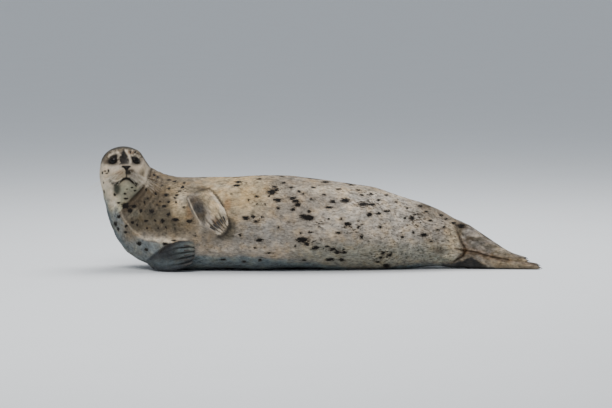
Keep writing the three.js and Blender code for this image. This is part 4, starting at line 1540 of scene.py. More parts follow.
        # Painted shade in the cheek's deep crease.
        self.paint(Tone.UMBER, self._line(CHEEK_FOLD.path, 3.6), 0.9)
        self._features(forward, left, up)
        for path, width in (
            (((-796, 180), (-786, 193), (-772, 201), (-760, 204), (-750, 203)), 4.4),
            (((-750, 202), (-752, 190), (-750, 170)), 3.0),
            (((-700, 194), (-684, 197), (-670, 192), (-661, 179), (-656, 164)), 4.2),
            (((-722, 216), (-716, 204), (-708, 192), (-703, 178), (-702, 166)), 3.4),
            # A painted highlight along the lower edge of the left whisker pad.
            (((-778, 98), (-762, 92), (-746, 96), (-736, 104)), 2.4),
        ):
            self.paint(Tone.CREAM, self._line(path, width) * (1 + 0.3 * uneven), 0.72)
        self.paint(Tone.OLIVE, self._line(((-785, 97), (-773, 86), (-760, 76)), 5.0), 0.8)
        lips = (
            (-780, 90), (-771, 83), (-745, 87), (-731, 98), (-717, 102), (-706, 97), (-693, 86), (-684, 82),
        )
        self.paint(Tone.INK, self._line(lips, 3.6), 1.0)

    def _crown(self, head: Array) -> None:
        """The dark crown, streaked above the brows.

        Args:
            head: How far each vertex belongs to the head.
        """
        right, up = self.sheet.T
        rim = np.interp(
            right, (-830, -800, -784, -770, -735, -700, -670, -650, -630),
            (150, 184, 196, 205, 212, 209, 200, 180, 150),
        )
        uneven = Waves(33, 20.0)(self.places)
        crown = smooth(up, rim - 3, rim + 5) * self.front * head
        self.paint(Tone.CROWN, smooth(up, rim - 10, rim + 3) * self.front * head, 0.45)
        self.paint(Tone.CROWN, crown, 0.95)
        turn = np.arctan2(up - 150, right - self.nose)
        streak = smooth(np.sin(turn * 22 + 2.4 * uneven), -0.3, 0.8)
        below = smooth(up, rim - 18, rim - 4) * self.front * head * smooth(up, 176, 190)
        self.paint(Tone.UMBER, below * streak * bell(up - rim, 12), 0.8)
        self.paint(Tone.SOOT, crown * streak * bell(up - rim - 8, 10), 0.85)
        self.paint(Tone.BUFF, crown * (1 - streak) * bell(up - rim - 5, 6), 0.3)
        self.paint(Tone.SOOT, crown * smooth(up, rim + 8, rim + 16), 0.35)
        seen = head * smooth(self.facing, 0.2, 0.5)
        for tone, places in (
            (Tone.CREAM, (-784, -768, -753, -716, -698)),
            (Tone.UMBER, (-806, -792, -776, -760, -745, -706, -690, -674)),
        ):
            for place in places:
                lean = (place - self.nose) * 0.14
                foot = float(np.interp(place, (-806, -770, -735, -700, -674), (191, 203, 208, 206, 198)))
                self.paint(tone, self._line(((place, foot), (place + lean, foot + 10)), 3.0) * seen, 0.65)
        self._blots((
            (Tone.UMBER, -803, 190, 9, 14, 0.6), (Tone.UMBER, -790, 207, 11, 9, 0.6),
            (Tone.EARTH, -764, 219, 22, 7, 0.6), (Tone.DRAB, -740, 216, 14, 10, 0.4),
            (Tone.EARTH, -702, 222, 24, 6, 0.6), (Tone.DRAB, -674, 210, 10, 10, 0.4),
        ), seen * (1 + 0.4 * uneven))

    def _features(self, forward: Array, left: Array, up: Array) -> None:
        """Lid edges, lips, nose and the roots of the whiskers.

        Args:
            forward: Places along the muzzle, in the head's frame.
            left: Places to its left.
            up: Places above its middle.
        """
        right_on, up_on = self.sheet.T
        for eye in EYES:
            _, _, rim = eye.opened(self.local)
            self.paint(Tone.INK, smooth(rim, 1.72, 1.45), 1.0)
            self.paint(Tone.SOOT, smooth(rim, 2.1, 1.6) * smooth(self.local[:, 2], 34, 18), 0.5)
        lip = self.face.mouth_at(self.local)
        front = smooth(forward, 40, 66)
        self.paint(Tone.UMBER, bell(lip + 3, 5.0) * front * smooth(np.abs(left), 66, 30), 0.6)
        self.paint(Tone.INK, bell(lip, 4.0) * front * smooth(left, 54, 46) * smooth(left, -66, -58), 1.0)
        self.paint(Tone.INK, smooth(self.face.nostril_at(self.local), 4.6, 2.2), 1.0)
        half = np.interp(up_on, (137, 144, 149, 157), (3, 6, 12, 16))
        pad = smooth(np.abs(right_on + 720), half + 3, half - 2) * self.front
        self.paint(Tone.INK, pad * smooth(up_on, 135, 140) * smooth(up_on, 156, 152), 0.97)
        groove = bell(left, 2.8) * smooth(up, -62, -55) * smooth(up, -22, -28)
        self.paint(Tone.SOOT, groove * smooth(forward, 90, 105), 0.95)
        self.paint(Tone.INK, self._blot(-712, 127, 11, 10, 0.5), 0.8)
        for row in range(5):
            self.paint(Tone.UMBER, self._line(((-702, 121 - 6.5 * row), (-682, 118 - 6.5 * row)), 1.5), 0.3)
        self.paint(Tone.INK, bell(self.face.ear_at(self.local), 3.4), 0.95)
        rows = np.zeros(len(left))
        for root_left, root_up in self.face.follicles():
            rows = np.maximum(rows, bell(np.hypot(np.abs(left) - root_left, up - root_up), 1.7))
        self.paint(Tone.SOOT, rows * front, 0.7)

    def spots_at(self, places: Array, facing: Array) -> Array:
        """How deep inside a spot places are.

        Args:
            places: Millimetres.
            facing: How far the skin there faces the camera, from -1 to 1.

        Returns:
            1 in a spot's middle, 0 at its rim, and less outside.
        """
        depth = np.full(len(places), self.lost)
        shown, hidden = np.flatnonzero(facing > 0.02), np.flatnonzero(facing < 0.3)
        right, up = VIEW.seen(places[shown]).T
        order = np.argsort(right)
        rank = right[order]
        for (spot_right, spot_up, half_right, half_up), centre in self.centres:
            low, high = np.searchsorted(rank, (spot_right - 4 * half_right, spot_right + 4 * half_right))
            mine = order[low:high]
            ratio = np.hypot((right[mine] - spot_right) / half_right, (up[mine] - spot_up) / half_up)
            away = np.linalg.norm(places[shown[mine]] - centre, axis=1)
            ratio = np.maximum(ratio, away / (1.5 * max(half_right, half_up)))
            depth[shown[mine]] = np.maximum(depth[shown[mine]], 1.0 - ratio)
        order = hidden[np.argsort(places[hidden, 0])]
        rank = places[order, 0]
        for x, y, z, size, long in self.hidden:
            low, high = np.searchsorted(rank, (x - 3.5 * size, x + 3.5 * size))
            mine = order[low:high]
            away = (places[mine] - (x, y, z)) / np.array((long, 1.0, 1.0))
            depth[mine] = np.maximum(depth[mine], 1.0 - np.linalg.norm(away, axis=1) / size)
        return depth

    def _centre(self, spot: Sequence[float]) -> Array:
        """The place on the skin that a spot is centred on."""
        away = np.hypot(self.sheet[:, 0] - spot[0], self.sheet[:, 1] - spot[1])
        return self.places[np.argmin(np.where(self.facing > 0.05, away, 1e6))]

    def _scattered(self) -> list[tuple[float, ...]]:
        """Spots on the sides that the camera doesn't see, a little closer than on its own side.

        Returns:
            A row for each spot: its place, its size, and how many times longer it is along the body.
        """
        rng = np.random.default_rng(41)
        beyond = (self.facing < 0) | (self.places[:, 0] > -560)
        free = np.flatnonzero((self.facing < 0.16) & (self.places[:, 2] > 6) & beyond)
        chosen: list[tuple[float, ...]] = []
        for index in rng.permutation(free)[:self.tries]:
            x, y, z = self.places[index]
            small = 0.62 if x < -640 else 1.0
            size = (4.5 + 8.5 * rng.random() ** 2.2) * small
            room = (26.0 if rng.random() < 0.55 else 13.0) * small
            if any(np.hypot(np.hypot(c[0] - x, c[1] - y), c[2] - z) < room for c in chosen[-700:]):
                continue
            if rng.random() < 0.35:
                continue
            chosen.append((x, y, z, size, 1.5 if x > -640 else 1.1))
        LOG.info("%d spots on the hidden sides", len(chosen))
        return chosen

    def lie(self) -> Array:
        """The way the hair points at each place, along the skin.

        Returns:
            One direction a vertex.
        """
        nose = HEAD.out((130.0, 0.0, -20.0))
        from_nose = self.places - nose
        far = smooth(np.linalg.norm(from_nose, axis=1), 150, 460)[:, None]
        way = unit(from_nose) * (1 - far) + np.array((1.0, 0.0, -0.16)) * far
        for part, along in (
            (Part.FORE_LEFT, (0.59, 0.0, -0.8)), (Part.FORE_RIGHT, (0.96, 0.0, 0.2)),
            (Part.HIND_LEFT, (1.0, 0.0, -0.25)), (Part.HIND_RIGHT, (1.0, 0.0, -0.08)),
        ):
            share = self._on(part, rounds=3)[:, None]
            way = way * (1 - share) + np.array(along) * share
        way = way - (way * self.outward).sum(axis=1, keepdims=True) * self.outward
        return unit(self.near.relaxed(unit(way), 4))

    def flow(self) -> Array:
        """Places in metres drawn short along the hair, so that patterns on them come out as streaks.

        Returns:
            One place a vertex.
        """
        x = np.linspace(-1000, 1000, 401)
        drawn = np.interp(x, (-1000, -740, -600, 1000), (0.85, 0.8, 0.2, 0.2))
        along = np.concatenate([[0.0], np.cumsum((drawn[1:] + drawn[:-1]) / 2 * np.diff(x))])
        flow = self.places.copy()
        flow[:, 0] = np.interp(flow[:, 0], x, along)
        for part, way in ((Part.FORE_LEFT, (0.59, 0.0, -0.8)), (Part.FORE_RIGHT, (0.96, 0.0, 0.2))):
            mine = belong(self.parts, [part])
            axis = unit(np.array(way))
            flow[mine] = self.places[mine] - 0.75 * (self.places[mine] @ axis)[:, None] * axis
        return flow * MM

    def reach(self) -> Array:
        """How long the tufts are at each place, in millimetres.

        Returns:
            One length a vertex.
        """
        forward, left, up = self.local.T
        head = self._on(*HEAD_PARTS, rounds=8)
        back = np.hypot(forward - 120, np.hypot(left, up + 30) * 0.6)
        on_head = np.interp(back, (0, 40, 120, 230), (2.3, 2.8, 5.0, 7.5))
        length = (1 - head) * 10.5 + head * on_head
        length = np.where(self.places[:, 0] < -560, np.minimum(length, 8.5), length)
        limbs = self._on(*LIMB_PARTS)
        return self.near.relaxed(length * (1 - limbs) + 5.0 * limbs, 6)

    def bare(self) -> Array:
        """Where no hair grows: 1 on the eyes, the nose pad and between the lips.

        Returns:
            One share a vertex.
        """
        forward, left, up = self.local.T
        bare = np.zeros(len(self.places))
        for eye in EYES:
            bare = np.maximum(bare, smooth(eye.opened(self.local)[2], 1.34, 1.2))
        bare = np.maximum(bare, smooth(np.abs(self.face.mouth_at(self.local)), 3.0, 1.8) * (forward > 40))
        bare = np.maximum(bare, smooth(self.face.nostril_at(self.local), 4.5, 3.0))
        return np.maximum(bare, (self.places[:, 2] < 1.6).astype(float))

    def flecks(self) -> Array:
        """How thickly small dark flecks lie at each place.

        Returns:
            One number a vertex, mostly below 1.
        """
        limbs = self._on(*LIMB_PARTS)
        thick = 0.45 + 0.35 * smooth(self.places[:, 1], -20, 120) + 0.35 * smooth(self.places[:, 0], 0, 300)
        thick = thick * (1 - 0.75 * self._blot(-330, 40, 150, 110)) * (1 - 0.5 * limbs)
        head = self._on(Part.HEAD, Part.LOWER_JAW, rounds=5)
        thick = np.clip(thick * (1 - 0.65 * head * self.front), 0, 1)
        for right, up, half_right, half_up in self.clusters:
            thick = thick + 0.8 * self._blot(right, up, half_right, half_up, 0.6)
        return thick

    def patchy(self) -> Array:
        """How strongly the coat is clouded at each place."""
        head = self._on(*HEAD_PARTS, rounds=8)
        return np.clip(1 - 0.55 * head * self.front - 0.3 * self._on(Part.FORE_RIGHT), 0, 1)

    def keep(self) -> None:
        """Writes everything that the finishes and the coat read onto the skin."""
        self.colour()
        reach, way = self.reach(), self.lie()
        lay = math.radians(self.lay)
        comb = way * math.cos(lay) + self.outward * math.sin(lay)
        spacing = self.closeness * reach
        density = (1 - self.bare()) / (spacing * MM) ** 2
        opaque = np.ones((len(self.tone), 1))
        put = {
            "tone": ("FLOAT_COLOR", "color", np.concatenate([self.tone, opaque], axis=1)),
            "mark": ("FLOAT", "value", self.spots_at(self.places, self.facing)),
            "patchy": ("FLOAT", "value", self.patchy()),
            "fleck": ("FLOAT", "value", self.flecks()),
            "wet": ("FLOAT", "value", self.under),
            "shade": ("FLOAT", "value", np.zeros(len(reach))),
            "flow": ("FLOAT_VECTOR", "vector", self.flow()),
            "root": ("FLOAT_VECTOR", "vector", FRAME.metres(self.places)),
            "comb": ("FLOAT_VECTOR", "vector", comb),
            "side": ("FLOAT_VECTOR", "vector", self.outward),
            "reach": ("FLOAT", "value", reach * MM),
            "density": ("FLOAT", "value", density),
        }
        for name, (kind, field_name, values) in put.items():
            layer = self.mesh.attributes.new(name, kind, "POINT")
            layer.data.foreach_set(field_name, np.ascontiguousarray(values, np.float32).ravel())


# ------------------------------------------------ nodes as Python expressions


Settings = dict[str, object]
Sockets = dict[int | str, object]


def feed(socket: bpy.types.NodeSocket, value: object) -> None:
    """Links or sets an input.

    Args:
        socket: The input.
        value: A number, a colour, a material or another node's output.
    """
    output = value.socket if isinstance(value, Value) else value
    if isinstance(output, bpy.types.NodeSocket):
        socket.id_data.links.new(output, socket)
    else:
        socket.default_value = value


def added(tree: bpy.types.NodeTree, kind: str, settings: Settings, sockets: Sockets) -> bpy.types.Node:
    """Adds a node to a tree.

    Args:
        tree: The tree.
        kind: The node's type.
        settings: Its own settings, which are set first.
        sockets: Numbers, colours or links for its inputs.

    Returns:
        The node.
    """
    made = tree.nodes.new(kind)
    for name, value in settings.items():
        setattr(made, name, value)
    for name, value in sockets.items():
        feed(made.inputs[name], value)
    return made


class Value:
    """A shader socket that takes part in sums."""

    def __init__(self, nodes: Nodes, socket: bpy.types.NodeSocket) -> None:
        """Keeps the socket with the tree that it is in."""
        self.nodes = nodes
        self.socket = socket

    def _sum(self, operation: str, one: Value | float, two: Value | float) -> Value:
        """A Math node on two numbers."""
        return self.nodes.node("ShaderNodeMath", {"operation": operation}, {0: one, 1: two})

    def __add__(self, other: Value | float) -> Value:
        """This and another added."""
        return self._sum("ADD", self, other)

    def __radd__(self, other: float) -> Value:
        """Another and this added."""
        return self._sum("ADD", other, self)

    def __sub__(self, other: Value | float) -> Value:
        """Another taken from this."""
        return self._sum("SUBTRACT", self, other)

    def __rsub__(self, other: float) -> Value:
        """This taken from another."""
        return self._sum("SUBTRACT", other, self)

    def __mul__(self, other: Value | float) -> Value:
        """This times another."""
        return self._sum("MULTIPLY", self, other)

    def __rmul__(self, other: float) -> Value:
        """Another times this."""
        return self._sum("MULTIPLY", other, self)

    def risen(self, low: float, high: float, least: float = 0.0, most: float = 1.0) -> Value:
        """A smooth step from one number to another.

        Args:
            low: Where the step starts.
            high: Where it ends.
            least: The number before it.
            most: The number after it.

        Returns:
            The step of this value.
        """
        settings = {"interpolation_type": "SMOOTHSTEP"}
        sockets = {"Value": self, "From Min": low, "From Max": high, "To Min": least, "To Max": most}
        return self.nodes.node("ShaderNodeMapRange", settings, sockets)


class Nodes:
    """A material's nodes, made from Python expressions."""

    def __init__(self, name: str) -> None:
        """Starts a material with its main shader.

        Args:
            name: The material's name.
        """
        self.material = bpy.data.materials.new(name)
        self.material.use_nodes = True
        self.tree = self.material.node_tree
        self.shader = self.tree.nodes["Principled BSDF"]

    def node(self, kind: str, settings: Settings, sockets: Sockets, out: int | str = 0) -> Value:
        """Adds a node and gives the wanted output."""
        return Value(self, added(self.tree, kind, settings, sockets).outputs[out])

    def attribute(self, name: str, out: str) -> Value:
        """A named attribute of the mesh."""
        return self.node("ShaderNodeAttribute", {"attribute_name": name}, {}, out)

    def noise(self, where: Value, size: float, detail: float = 2.0, rough: float = 0.55) -> Value:
        """Noise whose lumps are about a size in metres across."""
        sockets = {"Vector": where, "Scale": 1.0 / size, "Detail": detail, "Roughness": rough}
        return self.node("ShaderNodeTexNoise", {}, sockets)

    def mixed(
        self, one: Value | Colour, two: Value | Colour, share: Value | float, blend: str = "MIX"
    ) -> Value:
        """Two colours mixed.

        Args:
            one: The first colour.
            two: The second colour.
            share: How much of the second there is.
            blend: The way they are mixed.

        Returns:
            The mixture.
        """
        ends = [end if isinstance(end, Value) else (*end, 1.0) for end in (one, two)]
        settings = {"data_type": "RGBA", "blend_type": blend, "clamp_factor": True}
        return self.node("ShaderNodeMix", settings, {0: share, 6: ends[0], 7: ends[1]}, 2)

    def place(self) -> Value:
        """Places in the piece's own frame."""
        return self.node("ShaderNodeTexCoord", {}, {}, "Object")

    def bumped(self, height: Value, strength: float, distance: float) -> Value:
        """The surface's direction, roughened by a height."""
        sockets = {"Strength": strength, "Distance": distance, "Height": height}
        return self.node("ShaderNodeBump", {}, sockets, "Normal")

    def scaled(self, colour: Value, number: Value) -> Value:
        """A colour made lighter or darker."""
        return self.node("ShaderNodeVectorMath", {"operation": "SCALE"}, {0: colour, "Scale": number})

    def finish(self, **sockets: object) -> bpy.types.Material:
        """Sets the main shader's inputs, with spaces written as underscores.

        Args:
            sockets: The inputs by name.

        Returns:
            The material.
        """
        for name, value in sockets.items():
            feed(self.shader.inputs[name.replace("_", " ")], value)
        return self.material


# ------------------------------------------------ finishes


@dataclass(frozen=True)
class Pelt:
    """The coat's finish, on the skin or on the tufts."""

    name: str
    bump: bool
    dark: Colour = (0.007, 0.0055, 0.0045)
    mouse: Colour = (0.075, 0.058, 0.042)
    warm: Colour = (1.10, 1.0, 0.85)
    grey: Colour = (0.76, 0.79, 0.82)
    roughness: float = 0.66
    damp: float = 0.42

    def material(self) -> bpy.types.Material:
        """Makes the material.

        Returns:
            The material.
        """
        nodes = Nodes(self.name)
        flow = nodes.attribute("flow", "Vector")
        root = nodes.attribute("root", "Vector")
        mark = nodes.attribute("mark", "Fac")
        fleck = nodes.attribute("fleck", "Fac")
        shade = nodes.attribute("shade", "Fac")
        drift = nodes.node("ShaderNodeVectorMath", {"operation": "ADD"}, {0: flow, 1: root})
        ragged = nodes.noise(drift, 0.013, 4.0, 0.6)
        fringe = nodes.noise(flow, 0.0016, 2.0)
        streak = nodes.noise(flow, 0.0011, 2.0)
        cloud = nodes.noise(root, 0.055, 4.0, 0.6)
        mottle = nodes.noise(drift, 0.028, 5.0, 0.66)
        hue = nodes.noise(root, 0.038, 4.0, 0.6)
        small = nodes.noise(drift, 0.0155, 1.4, 0.45)
        tiny = nodes.noise(drift, 0.0105, 0.6, 0.4)
        gentle = nodes.attribute("patchy", "Fac")
        grain = nodes.noise(drift, 0.013, 3.0, 0.6)
        clouds = 1.0 * (cloud - 0.5) + 2.2 * (mottle - 0.5) + 1.5 * (grain - 0.5)
        light = 1.02 + gentle * clouds + 0.45 * (streak - 0.5) + 0.13 * shade
        colour = nodes.scaled(nodes.attribute("tone", "Color"), light)
        colour = nodes.mixed(colour, self.warm, gentle * hue.risen(0.46, 0.7), "MULTIPLY")
        colour = nodes.mixed(colour, self.grey, gentle * hue.risen(0.52, 0.34), "MULTIPLY")
        freckle = (small + 0.05 * fleck).risen(0.56, 0.66) * fleck
        colour = nodes.mixed(colour, self.mouse, 0.55 * freckle)
        speck = (tiny + 0.05 * fleck).risen(0.66, 0.72) * fleck
        colour = nodes.mixed(colour, self.dark, 0.9 * speck)
        depth = mark + 2.3 * (ragged - 0.5) + 1.5 * (fringe - 0.5)
        colour = nodes.mixed(colour, self.mouse, 0.45 * depth.risen(-0.55, 0.05))
        colour = nodes.mixed(colour, self.dark, depth.risen(-0.1, 0.2))
        wet = nodes.attribute("wet", "Fac")
        rough = self.roughness - (self.roughness - self.damp) * wet + 0.12 * (streak - 0.5)
        sockets: dict[str, object] = {"Base_Color": colour, "Roughness": rough}
        if self.bump:
            hairs = nodes.noise(flow, 0.0009, 3.0, 0.6)
            lumps = nodes.noise(root, 0.006, 2.0)
            sockets["Normal"] = nodes.bumped(hairs + 0.5 * lumps, 0.55, 0.0012)
        nodes.shader.inputs["Specular IOR Level"].default_value = 0.12
        nodes.shader.inputs["Sheen Weight"].default_value = 0.02
        nodes.shader.inputs["Sheen Roughness"].default_value = 0.45
        return nodes.finish(**sockets)


@dataclass(frozen=True)
class Iris:
    """A seal's eye: almost all dark, with a brown ring, under a wet surface."""

    name: str = "eye"
    pupil: Colour = (0.003, 0.003, 0.003)
    brown: Colour = (0.014, 0.008, 0.005)
    rim: Colour = (0.005, 0.004, 0.0035)

    def material(self) -> bpy.types.Material:
        """Makes the material.

        Returns:
            The material.
        """
        nodes = Nodes(self.name)
        ring = nodes.attribute("ring", "Fac")
        threads = nodes.noise(nodes.place(), 0.0012, 3.0)
        colour = nodes.mixed(self.brown, self.rim, threads.risen(0.35, 0.65))
        colour = nodes.mixed(self.pupil, colour, (ring + 0.04 * (threads - 0.5)).risen(0.42, 0.48))
        colour = nodes.mixed(colour, self.rim, ring.risen(0.66, 0.74))
        nodes.shader.inputs["Specular IOR Level"].default_value = 0.16
        return nodes.finish(Base_Color=colour, Roughness=0.09 + 0.06 * threads)


@dataclass(frozen=True)
class Horn:
    """Claws: near black, worn paler at the tips."""

    name: str = "claw"
    base: Colour = (0.022, 0.018, 0.015)
    tip: Colour = (0.085, 0.068, 0.052)

    def material(self) -> bpy.types.Material:
        """Makes the material.

        Returns:
            The material.
        """
        nodes = Nodes(self.name)
        along = nodes.attribute("along", "Fac")
        grain = nodes.noise(nodes.place(), 0.0013, 4.0, 0.6)
        colour = nodes.mixed(self.base, self.tip, (along + 0.5 * (grain - 0.5)).risen(0.45, 1.0))
        bumped = nodes.bumped(grain, 0.35, 0.0004)
        return nodes.finish(Base_Color=colour, Roughness=0.34 + 0.2 * grain, Normal=bumped)


@dataclass(frozen=True)
class Bristle:
    """Whiskers: pale horn, darker at the root."""

    name: str = "whisker"
    root: Colour = (0.12, 0.095, 0.07)
    tip: Colour = (0.62, 0.55, 0.44)

    def material(self) -> bpy.types.Material:
        """Makes the material.

        Returns:
            The material.
        """
        nodes = Nodes(self.name)
        along = nodes.attribute("along", "Fac")
        grain = nodes.noise(nodes.place(), 0.003, 2.0)
        colour = nodes.mixed(self.root, self.tip, (along + 0.2 * (grain - 0.5)).risen(0.0, 0.35))
        return nodes.finish(Base_Color=colour, Roughness=0.3 + 0.15 * grain)


@dataclass(frozen=True)
class Ground:
    """The plain pale floor."""

    name: str = "floor"
    pale: Colour = (0.74, 0.76, 0.78)

    def material(self) -> bpy.types.Material:
        """Makes the material.

        Returns:
            The material.
        """
        nodes = Nodes(self.name)
        cloud = nodes.noise(nodes.place(), 0.4, 3.0)
        darker = tuple(0.96 * part for part in self.pale)
        colour = nodes.mixed(darker, self.pale, cloud)
        return nodes.finish(Base_Color=colour, Roughness=0.7)


# ------------------------------------------------ the coat


class Region(Enum):
    """The pieces that the coat is made in."""

    HEAD = "coat_head"
    NECK = "coat_neck"
    FORE_CHEST = "coat_fore_chest"
    CHEST = "coat_chest"
    FORE_BELLY = "coat_fore_belly"
    MID_BELLY = "coat_mid_belly"
    HIND_BELLY = "coat_hind_belly"
    HIPS = "coat_hips"
    RUMP = "coat_rump"
    FORE_FLIPPERS = "coat_fore_flippers"
    HIND_FLIPPERS = "coat_hind_flippers"


@dataclass
class Coat:
    """Short tufts over the whole skin, made region by region.

    A tuft is a flattened three-sided cone that bends down towards its tip. Its width, its bend and how
    deep its root is sunk are shares of its length, which varies between two shares of the skin's reach.
    Each tuft is a patch on the map, on one unwrap of its region's shape.
    """

    markings: Markings
    finish: bpy.types.Material
    width: float = 0.075
    flatness: float = 0.55
    bend: float = 0.16
    jitter: float = 0.13
    shortest: float = 0.72
    longest: float = 1.22
    sunk: float = 0.06
    seed: int = 7
    patch: float = 0.003
    island: float = 0.49
    margin: float = 0.01
    most: int = 196000

    def _where(self) -> Array:
        """The region at each vertex of the skin: the trunk in slices along x, and the rest by its part.

        Returns:
            One region's number a vertex.
        """
        numbers = {region: number for number, region in enumerate(Region)}
        x = self.markings.places[:, 0]
        slices = (
            (-520.0, Region.FORE_CHEST), (-330.0, Region.CHEST), (-120.0, Region.FORE_BELLY),
            (100.0, Region.MID_BELLY), (300.0, Region.HIND_BELLY), (440.0, Region.HIPS),
        )
        where = np.full(len(x), numbers[Region.RUMP])
        for limit, region in reversed(slices):
            where = np.where(x < limit, numbers[region], where)
        for region, parts in (
            (Region.HEAD, HEAD_PARTS), (Region.NECK, (Part.NECK,)),
            (Region.FORE_FLIPPERS, FORE_PARTS), (Region.HIND_FLIPPERS, HIND_PARTS),
        ):
            where = np.where(belong(self.markings.parts, parts), numbers[region], where)
        return where

    def tree(self) -> bpy.types.NodeTree:
        """The node tree that grows tufts on a piece of skin.

        Returns:
            The tree.
        """
        tree = bpy.data.node_groups.new("tufts", "GeometryNodeTree")
        for name, kind in (
            ("Skin", "Geometry"), ("Segments", "Int"), ("Width", "Float"), ("Flatness", "Float"),
            ("Bend", "Float"), ("Sunk", "Float"), ("Shortest", "Float"), ("Longest", "Float"),
            ("Jitter", "Float"), ("Thickness of growth", "Float"), ("Seed", "Int"), ("Finish", "Material"),
        ):
            tree.interface.new_socket(name, in_out="INPUT", socket_type="NodeSocket" + kind)
        tree.interface.new_socket("Tufts", in_out="OUTPUT", socket_type="NodeSocketGeometry")
        given = tree.nodes.new("NodeGroupInput").outputs

        def node(kind: str, settings: Settings, sockets: Sockets, out: int = 0) -> bpy.types.NodeSocket:
            """Adds a node and gives the wanted output."""
            return added(tree, kind, settings, sockets).outputs[out]

        def maths(operation: str, *values: object) -> bpy.types.NodeSocket:
            """A sum on numbers."""
            return node("ShaderNodeMath", {"operation": operation}, dict(enumerate(values)))

        def joined(*values: object) -> bpy.types.NodeSocket:
            """Three numbers as a direction or a place."""
            return node("ShaderNodeCombineXYZ", {}, dict(enumerate(values)))

        def named(name: str, kind: str) -> bpy.types.NodeSocket:
            """A named attribute of the skin."""
            return node("GeometryNodeInputNamedAttribute", {"data_type": kind}, {"Name": name})

        def stored(shape: object, name: str, value: object, kind: str, domain: str) -> bpy.types.NodeSocket:
            """A shape with a value kept on it under a name."""
            sockets = {"Geometry": shape, "Name": name, "Value": value}
            return node("GeometryNodeStoreNamedAttribute", {"data_type": kind, "domain": domain}, sockets)

        def chance(least: object, most: object) -> bpy.types.NodeSocket:
            """A random number for each tuft."""
            sockets = {2: least, 3: most, "Seed": given["Seed"]}
            return node("FunctionNodeRandomValue", {"data_type": "FLOAT"}, sockets, 1)

        density = maths("MULTIPLY", named("density", "FLOAT"), given["Thickness of growth"])
        spread = added(
            tree, "GeometryNodeDistributePointsOnFaces", {"distribute_method": "RANDOM"},
            {"Mesh": given["Skin"], "Density": density, "Seed": given["Seed"]},
        ).outputs
        less, more = maths("MULTIPLY", given["Jitter"], -1.0), given["Jitter"]
        ends = {0: joined(less, less, less), 1: joined(more, more, more), "Seed": given["Seed"]}
        stray = node("FunctionNodeRandomValue", {"data_type": "FLOAT_VECTOR"}, ends)
        comb = named("comb", "FLOAT_VECTOR")
        way = node("ShaderNodeVectorMath", {"operation": "ADD"}, {0: comb, 1: stray})
        along = node("FunctionNodeAlignRotationToVector", {"axis": "Z"}, {"Vector": way})
        turned = node(
            "FunctionNodeAlignRotationToVector", {"axis": "X", "pivot_axis": "Z"},
            {"Rotation": along, "Vector": spread["Normal"]},
        )
        size = maths("MULTIPLY", named("reach", "FLOAT"), chance(given["Shortest"], given["Longest"]))
        sockets = {"Side Segments": given["Segments"], "Radius Bottom": given["Width"]}
        sockets |= {"Vertices": 3, "Radius Top": 0.0, "Depth": 1.0}
        cone = node("GeometryNodeMeshCone", {"fill_type": "NGON"}, sockets)
        local = node("GeometryNodeInputPosition", {}, {})
        place = added(tree, "ShaderNodeSeparateXYZ", {}, {0: local}).outputs
        drop = maths("MULTIPLY", maths("MULTIPLY", place[2], place[2]), given["Bend"])
        thin = maths("MULTIPLY", place[0], maths("SUBTRACT", given["Flatness"], 1.0))
        offset = joined(maths("SUBTRACT", thin, drop), 0.0, maths("MULTIPLY", given["Sunk"], -1.0))
        kept = stored(cone, "local", local, "FLOAT_VECTOR", "POINT")
        tuft = node("GeometryNodeSetPosition", {}, {"Geometry": kept, "Offset": offset})
        sockets = {"Points": spread["Points"], "Instance": tuft, "Rotation": turned, "Scale": size}
        grown = node("GeometryNodeInstanceOnPoints", {}, sockets)
        tinted = stored(grown, "shade", chance(-1.0, 1.0), "FLOAT", "INSTANCE")
        real = node("GeometryNodeRealizeInstances", {}, {"Geometry": tinted})
        dressed = node("GeometryNodeSetMaterial", {}, {"Geometry": real, "Material": given["Finish"]})
        feed(tree.nodes.new("NodeGroupOutput").inputs[0], dressed)
        return tree

    def _patch_of_skin(self, chosen: Array) -> bpy.types.Object:
        """A helper object of some of the skin's faces, with what the tufts read.

        Args:
            chosen: Which faces it keeps.

        Returns:
            The helper.
        """
        mesh = self.markings.mesh.copy()
        with editing(mesh) as work:
            gone = [work.faces[index] for index in np.flatnonzero(~chosen)]
            bmesh.ops.delete(work, geom=gone, context="FACES")
        return linked("helper", mesh)

    def _unwrapped(self, region: Region, roots: Array, sides: Array) -> Array:
        """Where roots lie on the unwrap of their region, from 0 to 1.

        Args:
            region: The region.
            roots: Millimetres.
            sides: The skin's outward direction there.

        Returns:
            One place a root.
        """
        x, y, z = roots.T
        if region is Region.HEAD:
            forward, left, up = HEAD.into(roots).T
            rise = np.arctan2(up, np.hypot(forward, left)) / math.pi + 0.5
            return np.stack([turn_of(left, forward), rise], axis=1)
        if region is Region.NECK:
            middle = np.interp(z, (200, 280, 366, 420), (-680, -712, -784, -790))
            return np.stack([turn_of(y - 10, x - middle), share_of(z, 150, 420)], axis=1)
        if region is Region.FORE_FLIPPERS:
            upper = x + 0.6 * z > -450
            across = np.where(upper, share_of(x, -545, -355), share_of(x, -705, -490))
            over = np.where(upper, share_of(z, 145, 340), share_of(z, 0, 135))
            outer = sides[:, 1] >= 0
            return self.island * np.stack([across, over], axis=1) + 0.5 * np.stack([outer, upper], axis=1)
        if region is Region.HIND_FLIPPERS:
            across, over = share_of(x, 495, 885), share_of(y, -65, 100)
            outer = sides[:, 2] > 0
            upper = z >= np.interp(x, (500, 600, 700, 800, 884), (84, 62, 44, 26, 18))
            return self.island * np.stack([across, over], axis=1) + 0.5 * np.stack([outer, upper], axis=1)
        return np.stack([turn_of(y, z - 180), share_of(x, x.min(), x.max())], axis=1)

